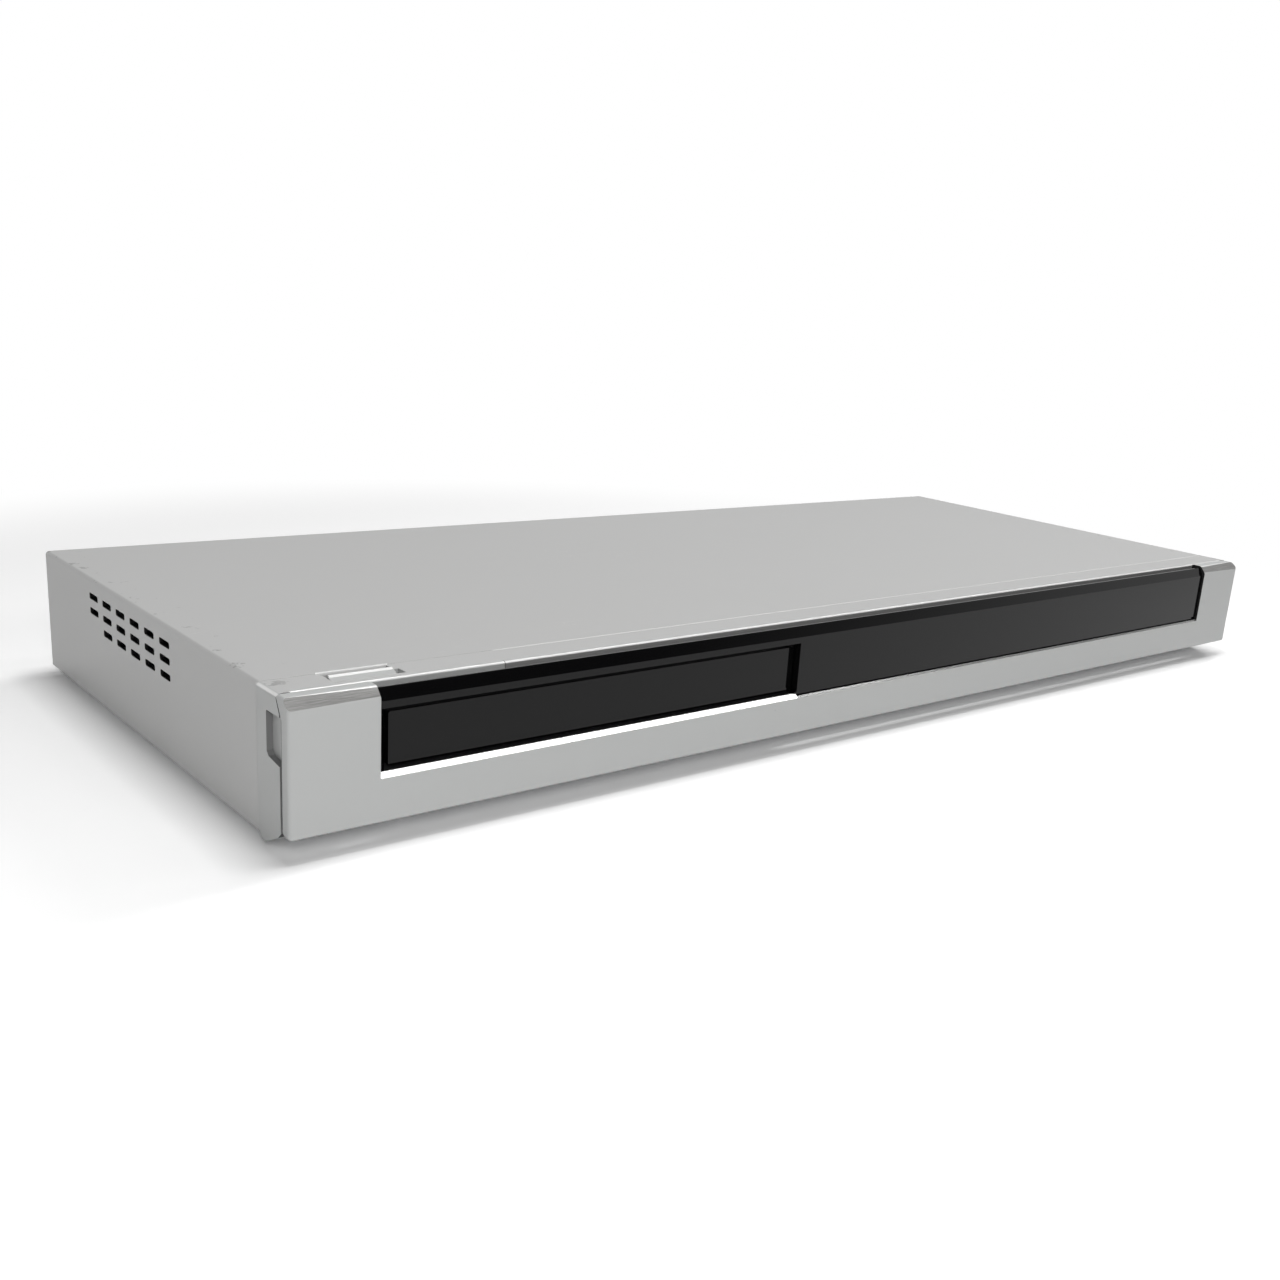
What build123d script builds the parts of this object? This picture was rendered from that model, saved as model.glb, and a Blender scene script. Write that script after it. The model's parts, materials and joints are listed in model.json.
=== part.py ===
from build123d import *
import os
from math import acos, asin, cos, degrees, pi, radians, sin, tan

# A slim disc recorder with a fold-down front door, a disc tray on the left,
# a hard disk in the middle and the mains supply on the right.
# Millimetres. X to the viewer's right, Y to the rear, Z up from the floor.
# Places are given as x from the middle, depth behind the door's face, height.

os.makedirs("parts", exist_ok=True)

# Whole body
BODY_WIDTH = 430.0
BODY_HEIGHT = 41.0
BODY_DEPTH = 179.0
AERIAL_REACH = 11.0
HALF = BODY_WIDTH / 2
FRONT = -(BODY_DEPTH + AERIAL_REACH) / 2
GAP = 0.3

# Sheet metal case
SHEET = 0.8
COVER_INSET = 0.2
COVER_BEND = 1.2
SIDE_BOTTOM = 3.3
CAP_BACK = 17.0
REAR_FLANGE = 7.5
CHASSIS_FLANGE = 10.0
FLOOR_TOP = SIDE_BOTTOM + SHEET
COVER_HALF = HALF - COVER_INSET
COVER_UNDER = BODY_HEIGHT - SHEET
PANEL_BACK = BODY_DEPTH - SHEET
PANEL_FRONT = PANEL_BACK - SHEET
CHASSIS_HALF = COVER_HALF - SHEET - GAP

# Side vents of the cover, left side only
VENT_LENGTH = 7.2
VENT_HEIGHT = 1.9
VENT_PITCH = 11.37
VENT_ROW_PITCH = 4.5
VENT_FIRST = 76.5
VENT_TOP = 35.75
VENT_ROWS = (6, 6, 5)
VENT_ROUND = 0.6

# Front panel moulding behind the door, with its end caps and top deck
CAP_THICK = 3.5
CAP_BOTTOM = 1.9
CAP_FRONT = 6.9
CAP_FLAT = 2.4
CAP_HEEL = 1.7
DOOR_THICK = 4.2
DOOR_GAP = 0.2
PANEL_FACE = 6.4
PANEL_THICK = 1.8
DECK_THICK = 1.5
LIP_FACE = 6.2
LIP_THICK = 1.2
LIP_DROP = 2.4
LIP_START = 62.0
PANEL_INNER = PANEL_FACE + PANEL_THICK
CAP_INNER = HALF - CAP_THICK
DECK_UNDER = BODY_HEIGHT - DECK_THICK
NOTCH_DEPTH = 1.6
NOTCH_BACK = 11.5
NOTCH_TOP = 35.8
NOTCH_LOW = 23.6
NOTCH_RISE = 1.0

# Fold-down door
DOOR_BOTTOM = 6.35
BEVEL_DEPTH = 2.34
BEVEL_DROP = 2.65
DOOR_TOP_BACK = 5.8
HINGE_ROUND = 2.0
HINGE_INSET = HALF - 11.5
HINGE_PIN_R = 0.7
EAR_WIDTH = 4.0
EAR_R = 1.3
PIN_HALF = 6.0
PIN_FIT = 0.04
DOOR_CORNER = 1.0
DOOR_WALL = 1.6
DOOR_RIBS = 8
AXIS_DEPTH = DOOR_THICK - HINGE_ROUND
AXIS_HEIGHT = DOOR_BOTTOM + HINGE_ROUND

# Smoked window and the opening for the tray
WINDOW_LEFT = -HALF + 23.5
WINDOW_RIGHT = HALF - 26.5
WINDOW_FACE = 0.9
WINDOW_THICK = 1.6
WINDOW_TOP = BODY_HEIGHT - 0.75
WINDOW_FOOT = 19.65
BAR_TOP = 17.75
LEDGE_DEPTH = 1.5
LEDGE_RISE = 1.4
SLOT_RIGHT = -HALF + 165.8
STRIP_BOTTOM = 35.25
JAMB = 2.9
JAMB_FRONT = 1.4

# Disc tray and its front
TRAY_X = WINDOW_LEFT + 72.75
TRAY_WIDTH = 130.0
TRAY_TOP = 29.1
TRAY_BOTTOM = 20.6
TRAY_PLATE = 4.8
TRAY_SKIRT = 2.2
TRAY_STOP = 5.0
TRAY_HOLD = 33.0
REAR_SPACE = 11.0
FRAME_END = BODY_DEPTH - REAR_SPACE
TRAY_END = FRAME_END - TRAY_STOP
TRAY_TRAVEL = TRAY_END - TRAY_HOLD
DISC_DEPTH = 70.0
DISC_R = 60.6
DISC_SINK = 1.8
SMALL_DISC_R = 41.0
SMALL_DISC_SINK = 3.3
HUB_HOLE_R = 17.0
FACE_WIDTH = 138.1
FACE_HEIGHT = 14.0
FACE_FRONT = 3.4
FACE_THICK = 2.4
FACE_BOTTOM = 19.45
FACE_BACK = FACE_FRONT + FACE_THICK
TRAY_HALF = TRAY_WIDTH / 2
TRAY_UNDER = TRAY_TOP - TRAY_PLATE

# Gear train that drives the tray
RACK_MODULE = 1.0
RACK_SPARE = 6
RACK_TEETH = int(TRAY_TRAVEL / (pi * RACK_MODULE) + RACK_SPARE)
PINION_TEETH = 16
GEAR_MODULE = 0.6
WHEEL_TEETH = 36
SMALL_TEETH = 14
RACK_BACKLASH = 0.2
GEAR_BACKLASH = 0.16
GEAR_DEPTH = 24.0
PULLEY_R = 8.5
MOTOR_PULLEY_R = 2.5
PULLEY_FLANGE = 1.0
BELT = 1.3
MOTOR_R = 10.5
MOTOR_X = 5.0
PINION_R = RACK_MODULE * PINION_TEETH / 2
RACK_LINE = TRAY_HALF - TRAY_SKIRT - 2.3
DRIVE_GEAR_X = RACK_LINE - PINION_R
PULLEY_X = DRIVE_GEAR_X - GEAR_MODULE * (WHEEL_TEETH + SMALL_TEETH) / 2

# Frame of the disc drive
FRAME_BOTTOM = 7.5
FRAME_FLOOR = 1.8
FRAME_WALL = 2.0
FRAME_TOP = 31.0
FRAME_FRONT = 9.0
SLIDE_GAP = 0.5
GUIDE = 3.0
FRAME_HALF = TRAY_HALF + SLIDE_GAP + FRAME_WALL
FRAME_DECK = FRAME_BOTTOM + FRAME_FLOOR

# Traverse, which tips down at its front so that the tray can pass
PIVOT_DEPTH = FRAME_END - 16.0
PIVOT_HEIGHT = 18.0
TRAVERSE_DROP = 4.48
TRAVERSE_HALF = 39.0
TRAVERSE_FRONT = 53.0
TRAVERSE_END = PIVOT_DEPTH + 5.0
TRAVERSE_UNDER = 17.0
TRAVERSE_PLATE = 1.6
ROD_R = 1.5
ROD_X = 22.0
ROD_HEIGHT = 15.0
SCREW_X = -31.0
SCREW_R = 1.6
SCREW_END_R = 0.8
SPINDLE_R = 13.0
PICKUP_GAP = 1.5
PICKUP_FRONT = 9.5
PICKUP_BACK = 13.0
ROD_CLIP = 4.5
PICKUP_DEPTH = DISC_DEPTH + SPINDLE_R + PICKUP_GAP + PICKUP_FRONT
BAY_FRONT = PICKUP_DEPTH - PICKUP_FRONT - 0.5
BAY_BACK = PIVOT_DEPTH - 6.0
PICKUP_TRAVEL = BAY_BACK - 5.0 - PICKUP_BACK - PICKUP_DEPTH
CAM_PIN_X = 18.0
CAM_PIN_R = 1.2
CAM_PIN_HEIGHT = 21.5
CAM_DEPTH = 45.5
CAM_THICK = 2.0
CAM_TRAVEL = 12.0
RUN_FIT = 0.05

# Controls
BUTTON_WIDTH = 9.0
BUTTON_HEIGHT = 5.0
BUTTON_PITCH = 13.0
USB_X = HALF - 55.0
CARD_X = HALF - 29.0
IC_X = HALF - 47.0
BUTTON_FIRST = USB_X - 86.0
BUTTON_Z = 27.0
BUTTON_TRAVEL = 0.5
BUTTON_NAMES = ("open", "stop", "play", "record", "channel_down", "channel_up")
POWER_LEFT = -HALF + 15.9
POWER_WIDTH = 17.4
POWER_FRONT = 9.0
POWER_BACK = 16.3
POWER_TRAVEL = 0.6
POWER_PROUD = 0.25
POWER_RIDGE = 3.6
POWER_DISH = 0.5
POWER_SLOT = 1.6

# Boards and what they carry
BOARD = 1.6
BOARD_HEIGHT = 9.0
BOARD_TOP = BOARD_HEIGHT + BOARD
FRONT_BOARD = 10.4
DISK_LENGTH = 147.0
DISK_WIDTH = 101.6
DISK_HEIGHT = 26.1
DISK_LEFT = TRAY_X + FRAME_HALF + 14.25
DISK_FRONT = 16.6
DISK_BOTTOM = 9.5
SUPPLY_X = HALF - 99.0
MAIN_X = DISK_LEFT - 5.0
POWER_BOARD = (SUPPLY_X, HALF - 5.0, 24.0, PANEL_FRONT - 19.4)
MAIN_BOARD = (MAIN_X, SUPPLY_X - 4.0, DISK_FRONT + DISK_WIDTH + 2.8, PANEL_FRONT - 1.0)
FOOT_R = 9.0
FOOT_X = HALF - 17.0
FOOT_DEPTHS = (32.0, BODY_DEPTH - 19.0)
FAN_X = SUPPLY_X + 18.0
FAN_SIZE = 32.0
FAN_THICK = 11.0
FAN_HEIGHT = 22.5
FAN_BLADES = 7


def box(x0, x1, d0, d1, z0, z1):
    """A block between two x, two depths and two heights."""
    centre = Pos((x0 + x1) / 2, FRONT + (d0 + d1) / 2, (z0 + z1) / 2)
    return centre * Box(x1 - x0, d1 - d0, z1 - z0)


def outline(points, rounds=None):
    """A flat face with chosen corners rounded, given as {corner: radius}."""
    face = make_face(Polyline(*points, close=True))
    for corner, radius in (rounds or {}).items():
        px, py = points[corner]
        vertex = min(face.vertices(), key=lambda v: (v.X - px) ** 2 + (v.Y - py) ** 2)
        face = fillet(vertex, radius)
    return face


def bar(points, x0, x1, rounds=None):
    """A length along X of an outline in depth and height."""
    face = Pos(x0, FRONT, 0) * (Plane.YZ * outline(points, rounds))
    return extrude(face, amount=x1 - x0, dir=(1, 0, 0))


def slab(points, z0, z1, rounds=None):
    """An outline in x and depth, raised from one height to another."""
    return extrude(Pos(0, FRONT, z0) * outline(points, rounds), amount=z1 - z0, dir=(0, 0, 1))


def plate(points, d0, d1, rounds=None):
    """An outline in x and height, facing the front, between two depths."""
    face = Pos(0, FRONT + d0, 0) * (Plane.XZ * outline(points, rounds))
    return extrude(face, amount=d1 - d0, dir=(0, 1, 0))


def corners(a0, a1, b0, b1):
    return [(a0, b0), (a1, b0), (a1, b1), (a0, b1)]


def rounded_slab(x0, x1, d0, d1, z0, z1, radius):
    return slab(corners(x0, x1, d0, d1), z0, z1, {i: radius for i in range(4)})


def rounded_plate(x0, x1, z0, z1, d0, d1, radius):
    return plate(corners(x0, x1, z0, z1), d0, d1, {i: radius for i in range(4)})


def post(x, depth, z0, z1, radius):
    return Pos(x, FRONT + depth, (z0 + z1) / 2) * Cylinder(radius, z1 - z0)


def cross_rod(x0, x1, depth, height, radius):
    return Pos((x0 + x1) / 2, FRONT + depth, height) * Rot(0, 90, 0) * Cylinder(radius, x1 - x0)


def long_rod(x, height, d0, d1, radius):
    return Pos(x, FRONT + (d0 + d1) / 2, height) * Rot(90, 0, 0) * Cylinder(radius, d1 - d0)


def turned(points, x, depth):
    """A solid of revolution about an upright axis, from radii and heights."""
    profile = Plane.XZ * make_face(Polyline(*points, close=True))
    return Pos(x, FRONT + depth, 0) * revolve(profile, Axis.Z)


def mirrored(shape):
    return mirror(shape, about=Plane.YZ)


def joined(*shapes):
    whole = shapes[0]
    for shape in shapes[1:]:
        whole = whole + shape
    return whole


def grid(xs, depths):
    return [(x, depth) for x in xs for depth in depths]


def tray_x(local):
    return TRAY_X + local


def involute(angle):
    return tan(angle) - angle


def gear_outline(teeth, module, backlash, turn=0.0):
    """An involute gear face, its first tooth centred on the given angle."""
    pitch_r = module * teeth / 2
    base_r = pitch_r * cos(radians(20))
    root_r = pitch_r - 1.2 * module
    tip_r = pitch_r + 0.9 * module
    half = pi / (2 * teeth) - backlash / (2 * pitch_r) + involute(radians(20))
    stations = []
    for radius in (root_r, max(base_r, root_r + 0.05), pitch_r, tip_r):
        pressure = acos(min(1.0, base_r / radius))
        stations.append((radius, half - involute(pressure)))
    points = []
    for tooth in range(teeth):
        middle = turn + 2 * pi * tooth / teeth
        for radius, offset in stations:
            points.append((radius * cos(middle - offset), radius * sin(middle - offset)))
        for radius, offset in reversed(stations):
            points.append((radius * cos(middle + offset), radius * sin(middle + offset)))
    return make_face(Polyline(*points, close=True))


def gear(teeth, module, backlash, x, depth, z0, z1, turn=0.0):
    face = Pos(x, FRONT + depth, z0) * gear_outline(teeth, module, backlash, turn)
    return extrude(face, amount=z1 - z0, dir=(0, 0, 1))


# Sheet metal case

FEET = grid((-FOOT_X, FOOT_X), FOOT_DEPTHS)
DRIVE_POSTS = grid((tray_x(-61.0), tray_x(61.0)), (16.0, FRAME_END - 10.0))
DISK_POSTS = grid((DISK_LEFT + 8, DISK_LEFT + DISK_LENGTH - 8),
                  (DISK_FRONT + 9, DISK_FRONT + DISK_WIDTH - 9))
BOARD_POSTS = grid((POWER_BOARD[0] + 5, POWER_BOARD[1] - 5), (POWER_BOARD[2] + 5, POWER_BOARD[3] - 5))
BOARD_POSTS += grid((MAIN_BOARD[0] + 5, MAIN_BOARD[1] - 5), (MAIN_BOARD[2] + 5,))
SCREW_HOLE_R = 1.5
REAR_SCREW_XS = (-HALF + 35.0, 0.0, HALF - 35.0)
REAR_SCREW_Z = 37.2


def base_chassis():
    floor = box(-CHASSIS_HALF, CHASSIS_HALF, CAP_BACK + 0.4, PANEL_FRONT, SIDE_BOTTOM, FLOOR_TOP)
    tongue = box(-CAP_INNER + GAP, CAP_INNER - GAP, PANEL_INNER + 0.2, CAP_BACK + 0.4,
                 SIDE_BOTTOM, FLOOR_TOP)
    side = box(CHASSIS_HALF - SHEET, CHASSIS_HALF, CAP_BACK + 0.4, PANEL_FRONT,
               FLOOR_TOP, SIDE_BOTTOM + CHASSIS_FLANGE)
    chassis = joined(floor, tongue, side, mirrored(side))
    for x, depth in BOARD_POSTS:
        chassis += post(x, depth, FLOOR_TOP, BOARD_HEIGHT, 2.5)
    for x, depth in DRIVE_POSTS:
        chassis += post(x, depth, FLOOR_TOP, FRAME_BOTTOM, 3.5)
    for x, depth in DRIVE_POSTS + DISK_POSTS:
        chassis -= post(x, depth, SIDE_BOTTOM - 1, FRAME_BOTTOM + 1, SCREW_HOLE_R)
    for x, depth in FEET:
        chassis -= post(x, depth, SIDE_BOTTOM - 1, FLOOR_TOP + 1, 2.0)
    for number in range(7):
        slot = SUPPLY_X + 12 + 11 * number
        chassis -= box(slot, slot + 3, 60, 84, SIDE_BOTTOM - 1, FLOOR_TOP + 1)
        chassis -= box(slot, slot + 3, 96, 120, SIDE_BOTTOM - 1, FLOOR_TOP + 1)
    return chassis


def top_cover():
    shell = plate([(-COVER_HALF, SIDE_BOTTOM), (COVER_HALF, SIDE_BOTTOM),
                   (COVER_HALF, BODY_HEIGHT), (-COVER_HALF, BODY_HEIGHT)],
                  CAP_BACK + 0.1, BODY_DEPTH, {2: COVER_BEND, 3: COVER_BEND})
    inside = COVER_HALF - SHEET
    shell -= plate([(-inside, SIDE_BOTTOM - 1), (inside, SIDE_BOTTOM - 1), (inside, COVER_UNDER),
                    (-inside, COVER_UNDER)], CAP_BACK - 1, PANEL_BACK,
                   {2: COVER_BEND - SHEET, 3: COVER_BEND - SHEET})
    shell -= box(-inside, inside, PANEL_BACK - 1, BODY_DEPTH + 1, SIDE_BOTTOM - 1,
                 BODY_HEIGHT - REAR_FLANGE)
    for x in REAR_SCREW_XS:
        shell -= long_rod(x, REAR_SCREW_Z, PANEL_BACK - 1, BODY_DEPTH + 1, 1.6)
    for row, count in enumerate(VENT_ROWS):
        middle_z = VENT_TOP - VENT_ROW_PITCH * row
        for column in range(count):
            middle_d = VENT_FIRST + VENT_PITCH * column
            points = corners(middle_d - VENT_LENGTH / 2, middle_d + VENT_LENGTH / 2,
                             middle_z - VENT_HEIGHT / 2, middle_z + VENT_HEIGHT / 2)
            rounds = {i: VENT_ROUND for i in range(4)}
            shell -= bar(points, -COVER_HALF - 1, -COVER_HALF + SHEET + 1, rounds)
    return shell


AERIAL_XS = (MAIN_X + 10.0, MAIN_X + 28.0)
AERIAL_ZS = (15.2, 28.0)
AERIAL_R = 4.7
AERIAL_NECK = 0.6
HDMI_X = MAIN_X + 52.0
LAN_X = MAIN_X + 73.0
OPTICAL_X = MAIN_X + 92.0
AV_XS = (MAIN_X + 110.0, MAIN_X + 122.0, MAIN_X + 134.0)
AV_Z = 17.0
AV_R = 4.15
AV_NECK = 0.4
AV_REACH = 7.5
AV_BORE_R = 1.65
INLET_X = HALF - 25.0
INLET_Z = 21.0


def rear_panel():
    panel = box(-CHASSIS_HALF + 0.5, CHASSIS_HALF - 0.5, PANEL_FRONT, PANEL_BACK,
                SIDE_BOTTOM, COVER_UNDER - GAP)
    lo, hi = PANEL_FRONT - 1, PANEL_BACK + 1
    for x in REAR_SCREW_XS:
        panel -= long_rod(x, REAR_SCREW_Z, lo, hi, 1.6)
    for x in AERIAL_XS:
        for z in AERIAL_ZS:
            panel -= long_rod(x, z, lo, hi, AERIAL_R + 0.4)
    for x in AV_XS:
        panel -= long_rod(x, AV_Z, lo, hi, AV_R + 0.4)
    panel -= box(HDMI_X - 8.0, HDMI_X + 8.0, lo, hi, 11.4, 18.0)
    panel -= box(LAN_X - 8.3, LAN_X + 8.3, lo, hi, 10.4, 24.6)
    panel -= box(OPTICAL_X - 5.3, OPTICAL_X + 5.3, lo, hi, 10.4, 20.9)
    panel -= box(INLET_X - 10.3, INLET_X + 10.3, lo, hi, INLET_Z - 6.8, INLET_Z + 6.8)
    grille_r = FAN_SIZE / 2 - 2.2
    for number in range(-3, 4):
        offset = 3.9 * number
        reach = (grille_r ** 2 - offset ** 2) ** 0.5
        panel -= box(FAN_X + offset - 1.2, FAN_X + offset + 1.2, lo, hi,
                     FAN_HEIGHT - reach, FAN_HEIGHT + reach)
    for number in range(9):
        slot = tray_x(-56.0) + 14.0 * number
        panel -= box(slot - 4.5, slot + 4.5, lo, hi, 20.0, 22.5)
        panel -= box(slot - 4.5, slot + 4.5, lo, hi, 25.5, 28.0)
    return panel


def foot(x, depth):
    top = SIDE_BOTTOM
    points = [(0, 0.8), (FOOT_R - 2.5, 0.8), (FOOT_R - 2.0, 0), (FOOT_R - 0.8, 0), (FOOT_R, 0.9),
              (FOOT_R - 0.4, top), (1.9, top), (1.9, FLOOR_TOP), (0, FLOOR_TOP)]
    return turned(points, x, depth)


def feet():
    return Compound(children=[foot(x, depth) for x, depth in FEET])


def rear_screw(x):
    head = long_rod(x, REAR_SCREW_Z, BODY_DEPTH, BODY_DEPTH + 1.8, 2.8)
    shank = long_rod(x, REAR_SCREW_Z, PANEL_FRONT - 4, BODY_DEPTH, 1.45)
    return head + shank


def cover_screws():
    return Compound(children=[rear_screw(x) for x in REAR_SCREW_XS])


def bottom_screw(x, depth):
    head_r = 3.0
    shank_r = SCREW_HOLE_R - RUN_FIT
    points = [(0, SIDE_BOTTOM - 1.2), (head_r - 0.6, SIDE_BOTTOM - 1.2), (head_r, SIDE_BOTTOM - 0.6),
              (head_r, SIDE_BOTTOM), (shank_r, SIDE_BOTTOM), (shank_r, FRAME_DECK - 0.2),
              (0, FRAME_DECK - 0.2)]
    return turned(points, x, depth)


def chassis_screws():
    return Compound(children=[bottom_screw(x, depth) for x, depth in DRIVE_POSTS + DISK_POSTS])


# Front panel, door and controls

DISPLAY = (SLOT_RIGHT + 19.2, BUTTON_FIRST - 14.0, 14.5, 34.5)
USB_Z = 26.5
CARD_Z = 27.0
IC_Z = 15.5


def button_x(number):
    return BUTTON_FIRST + BUTTON_PITCH * number


def end_cap():
    """The left cap, whose lower end stands lower than the door like a foot."""
    face = DOOR_THICK + DOOR_GAP
    top_face = DOOR_TOP_BACK + GAP
    heel = CAP_BACK - CAP_HEEL
    points = [(face, CAP_FRONT), (face + 1.5, CAP_FRONT - 1.5), (heel - CAP_FLAT, CAP_BOTTOM),
              (heel, CAP_BOTTOM), (CAP_BACK, CAP_BOTTOM + CAP_HEEL), (CAP_BACK, BODY_HEIGHT),
              (top_face, BODY_HEIGHT), (top_face, BODY_HEIGHT - 0.8), (face, BODY_HEIGHT - 4.2)]
    cap = bar(points, -HALF, -CAP_INNER, {1: 1.0, 2: 2.5, 3: 1.0})
    edge = cap.edges().filter_by(Axis.Y).sort_by(lambda e: e.center().Z - e.center().X)[-1]
    cap = fillet(edge, COVER_BEND)
    notch = [(face - 0.5, NOTCH_TOP), (NOTCH_BACK, NOTCH_TOP), (NOTCH_BACK, NOTCH_LOW + 2 * NOTCH_RISE),
             (NOTCH_BACK - NOTCH_RISE, NOTCH_LOW + NOTCH_RISE), (face - 0.5, NOTCH_LOW)]
    return cap - bar(notch, -HALF - 1, -HALF + NOTCH_DEPTH, {1: 0.5, 2: 0.5})


def hinge_ear(x):
    pad = bar([(AXIS_DEPTH, AXIS_HEIGHT - EAR_R), (PANEL_FACE + 0.2, AXIS_HEIGHT - EAR_R),
               (PANEL_FACE + 0.2, AXIS_HEIGHT + EAR_R), (AXIS_DEPTH, AXIS_HEIGHT + EAR_R)],
              x - EAR_WIDTH / 2, x + EAR_WIDTH / 2)
    eye = cross_rod(x - EAR_WIDTH / 2, x + EAR_WIDTH / 2, AXIS_DEPTH, AXIS_HEIGHT, EAR_R)
    bore = cross_rod(x - EAR_WIDTH, x + EAR_WIDTH, AXIS_DEPTH, AXIS_HEIGHT, HINGE_PIN_R + RUN_FIT)
    return pad + eye - bore


def front_panel():
    wall = box(-CAP_INNER, CAP_INNER, PANEL_FACE, PANEL_INNER, SIDE_BOTTOM + 1.4, DECK_UNDER)
    foot_flange = box(-CAP_INNER, CAP_INNER, PANEL_INNER, 12.3, FLOOR_TOP, FLOOR_TOP + 1.2)
    deck = bar([(LIP_FACE, BODY_HEIGHT - LIP_DROP), (LIP_FACE, BODY_HEIGHT), (CAP_BACK, BODY_HEIGHT),
                (CAP_BACK, DECK_UNDER), (PANEL_INNER, DECK_UNDER), (PANEL_INNER, BODY_HEIGHT - LIP_DROP)],
               -CAP_INNER, CAP_INNER, {1: 0.6})
    cap = end_cap()
    panel = joined(wall, foot_flange, deck, cap, mirrored(cap))
    panel -= box(-HALF + LIP_START, CAP_INNER, LIP_FACE - 1, LIP_FACE + LIP_THICK,
                 BODY_HEIGHT - LIP_DROP, BODY_HEIGHT + 1)
    panel += hinge_ear(-HINGE_INSET) + hinge_ear(HINGE_INSET)
    lo, hi = PANEL_FACE - 1, PANEL_INNER + 1
    mouth = TRAY_HALF + 1.15
    panel -= box(tray_x(-mouth), tray_x(mouth), lo, hi, TRAY_BOTTOM - 0.7, TRAY_TOP + 1.1)
    panel -= box(DISPLAY[0] - GAP, DISPLAY[1] + GAP, lo, hi, DISPLAY[2] - GAP, DISPLAY[3] + GAP)
    for number in range(len(BUTTON_NAMES)):
        x = button_x(number)
        half_w = BUTTON_WIDTH / 2 + 0.2
        half_h = BUTTON_HEIGHT / 2 + 0.2
        panel -= rounded_plate(x - half_w, x + half_w, BUTTON_Z - half_h, BUTTON_Z + half_h, lo, hi, 1.7)
    panel -= box(USB_X - 7.2, USB_X + 7.2, lo, hi, USB_Z - 3.7, USB_Z + 3.7)
    panel -= box(CARD_X - 14.2, CARD_X + 14.2, lo, hi, CARD_Z - 2.2, CARD_Z + 2.2)
    panel -= box(IC_X - 29.2, IC_X + 29.2, lo, hi, IC_Z - 2.5, IC_Z + 2.5)
    panel -= box(POWER_LEFT - 0.2, POWER_LEFT + POWER_WIDTH + 0.2, POWER_FRONT - 0.2, POWER_BACK + 0.2,
                 DECK_UNDER - 1, BODY_HEIGHT + 1)
    panel -= box(POWER_LEFT + POWER_WIDTH, POWER_LEFT + POWER_WIDTH + POWER_SLOT, POWER_FRONT - 0.2,
                 POWER_FRONT + POWER_RIDGE, DECK_UNDER - 1, BODY_HEIGHT + 1)
    panel += box(POWER_LEFT - 4, POWER_LEFT + POWER_WIDTH + 4, PANEL_INNER, CAP_BACK - 1, 34.3, 35.3)
    for x in (DISPLAY[0] - 3, DISPLAY[1] + 6, USB_X - 14, HALF - 11):
        panel += long_rod(x, 33.0, PANEL_INNER, FRONT_BOARD, 1.8)
    return panel


def top_lip():
    """The bright strip along the front of the deck, right of a hairline seam."""
    points = [(LIP_FACE, BODY_HEIGHT - LIP_DROP), (LIP_FACE, BODY_HEIGHT),
              (LIP_FACE + LIP_THICK, BODY_HEIGHT), (LIP_FACE + LIP_THICK, BODY_HEIGHT - LIP_DROP)]
    return bar(points, -HALF + LIP_START + 0.15, CAP_INNER, {1: 0.6})


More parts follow.
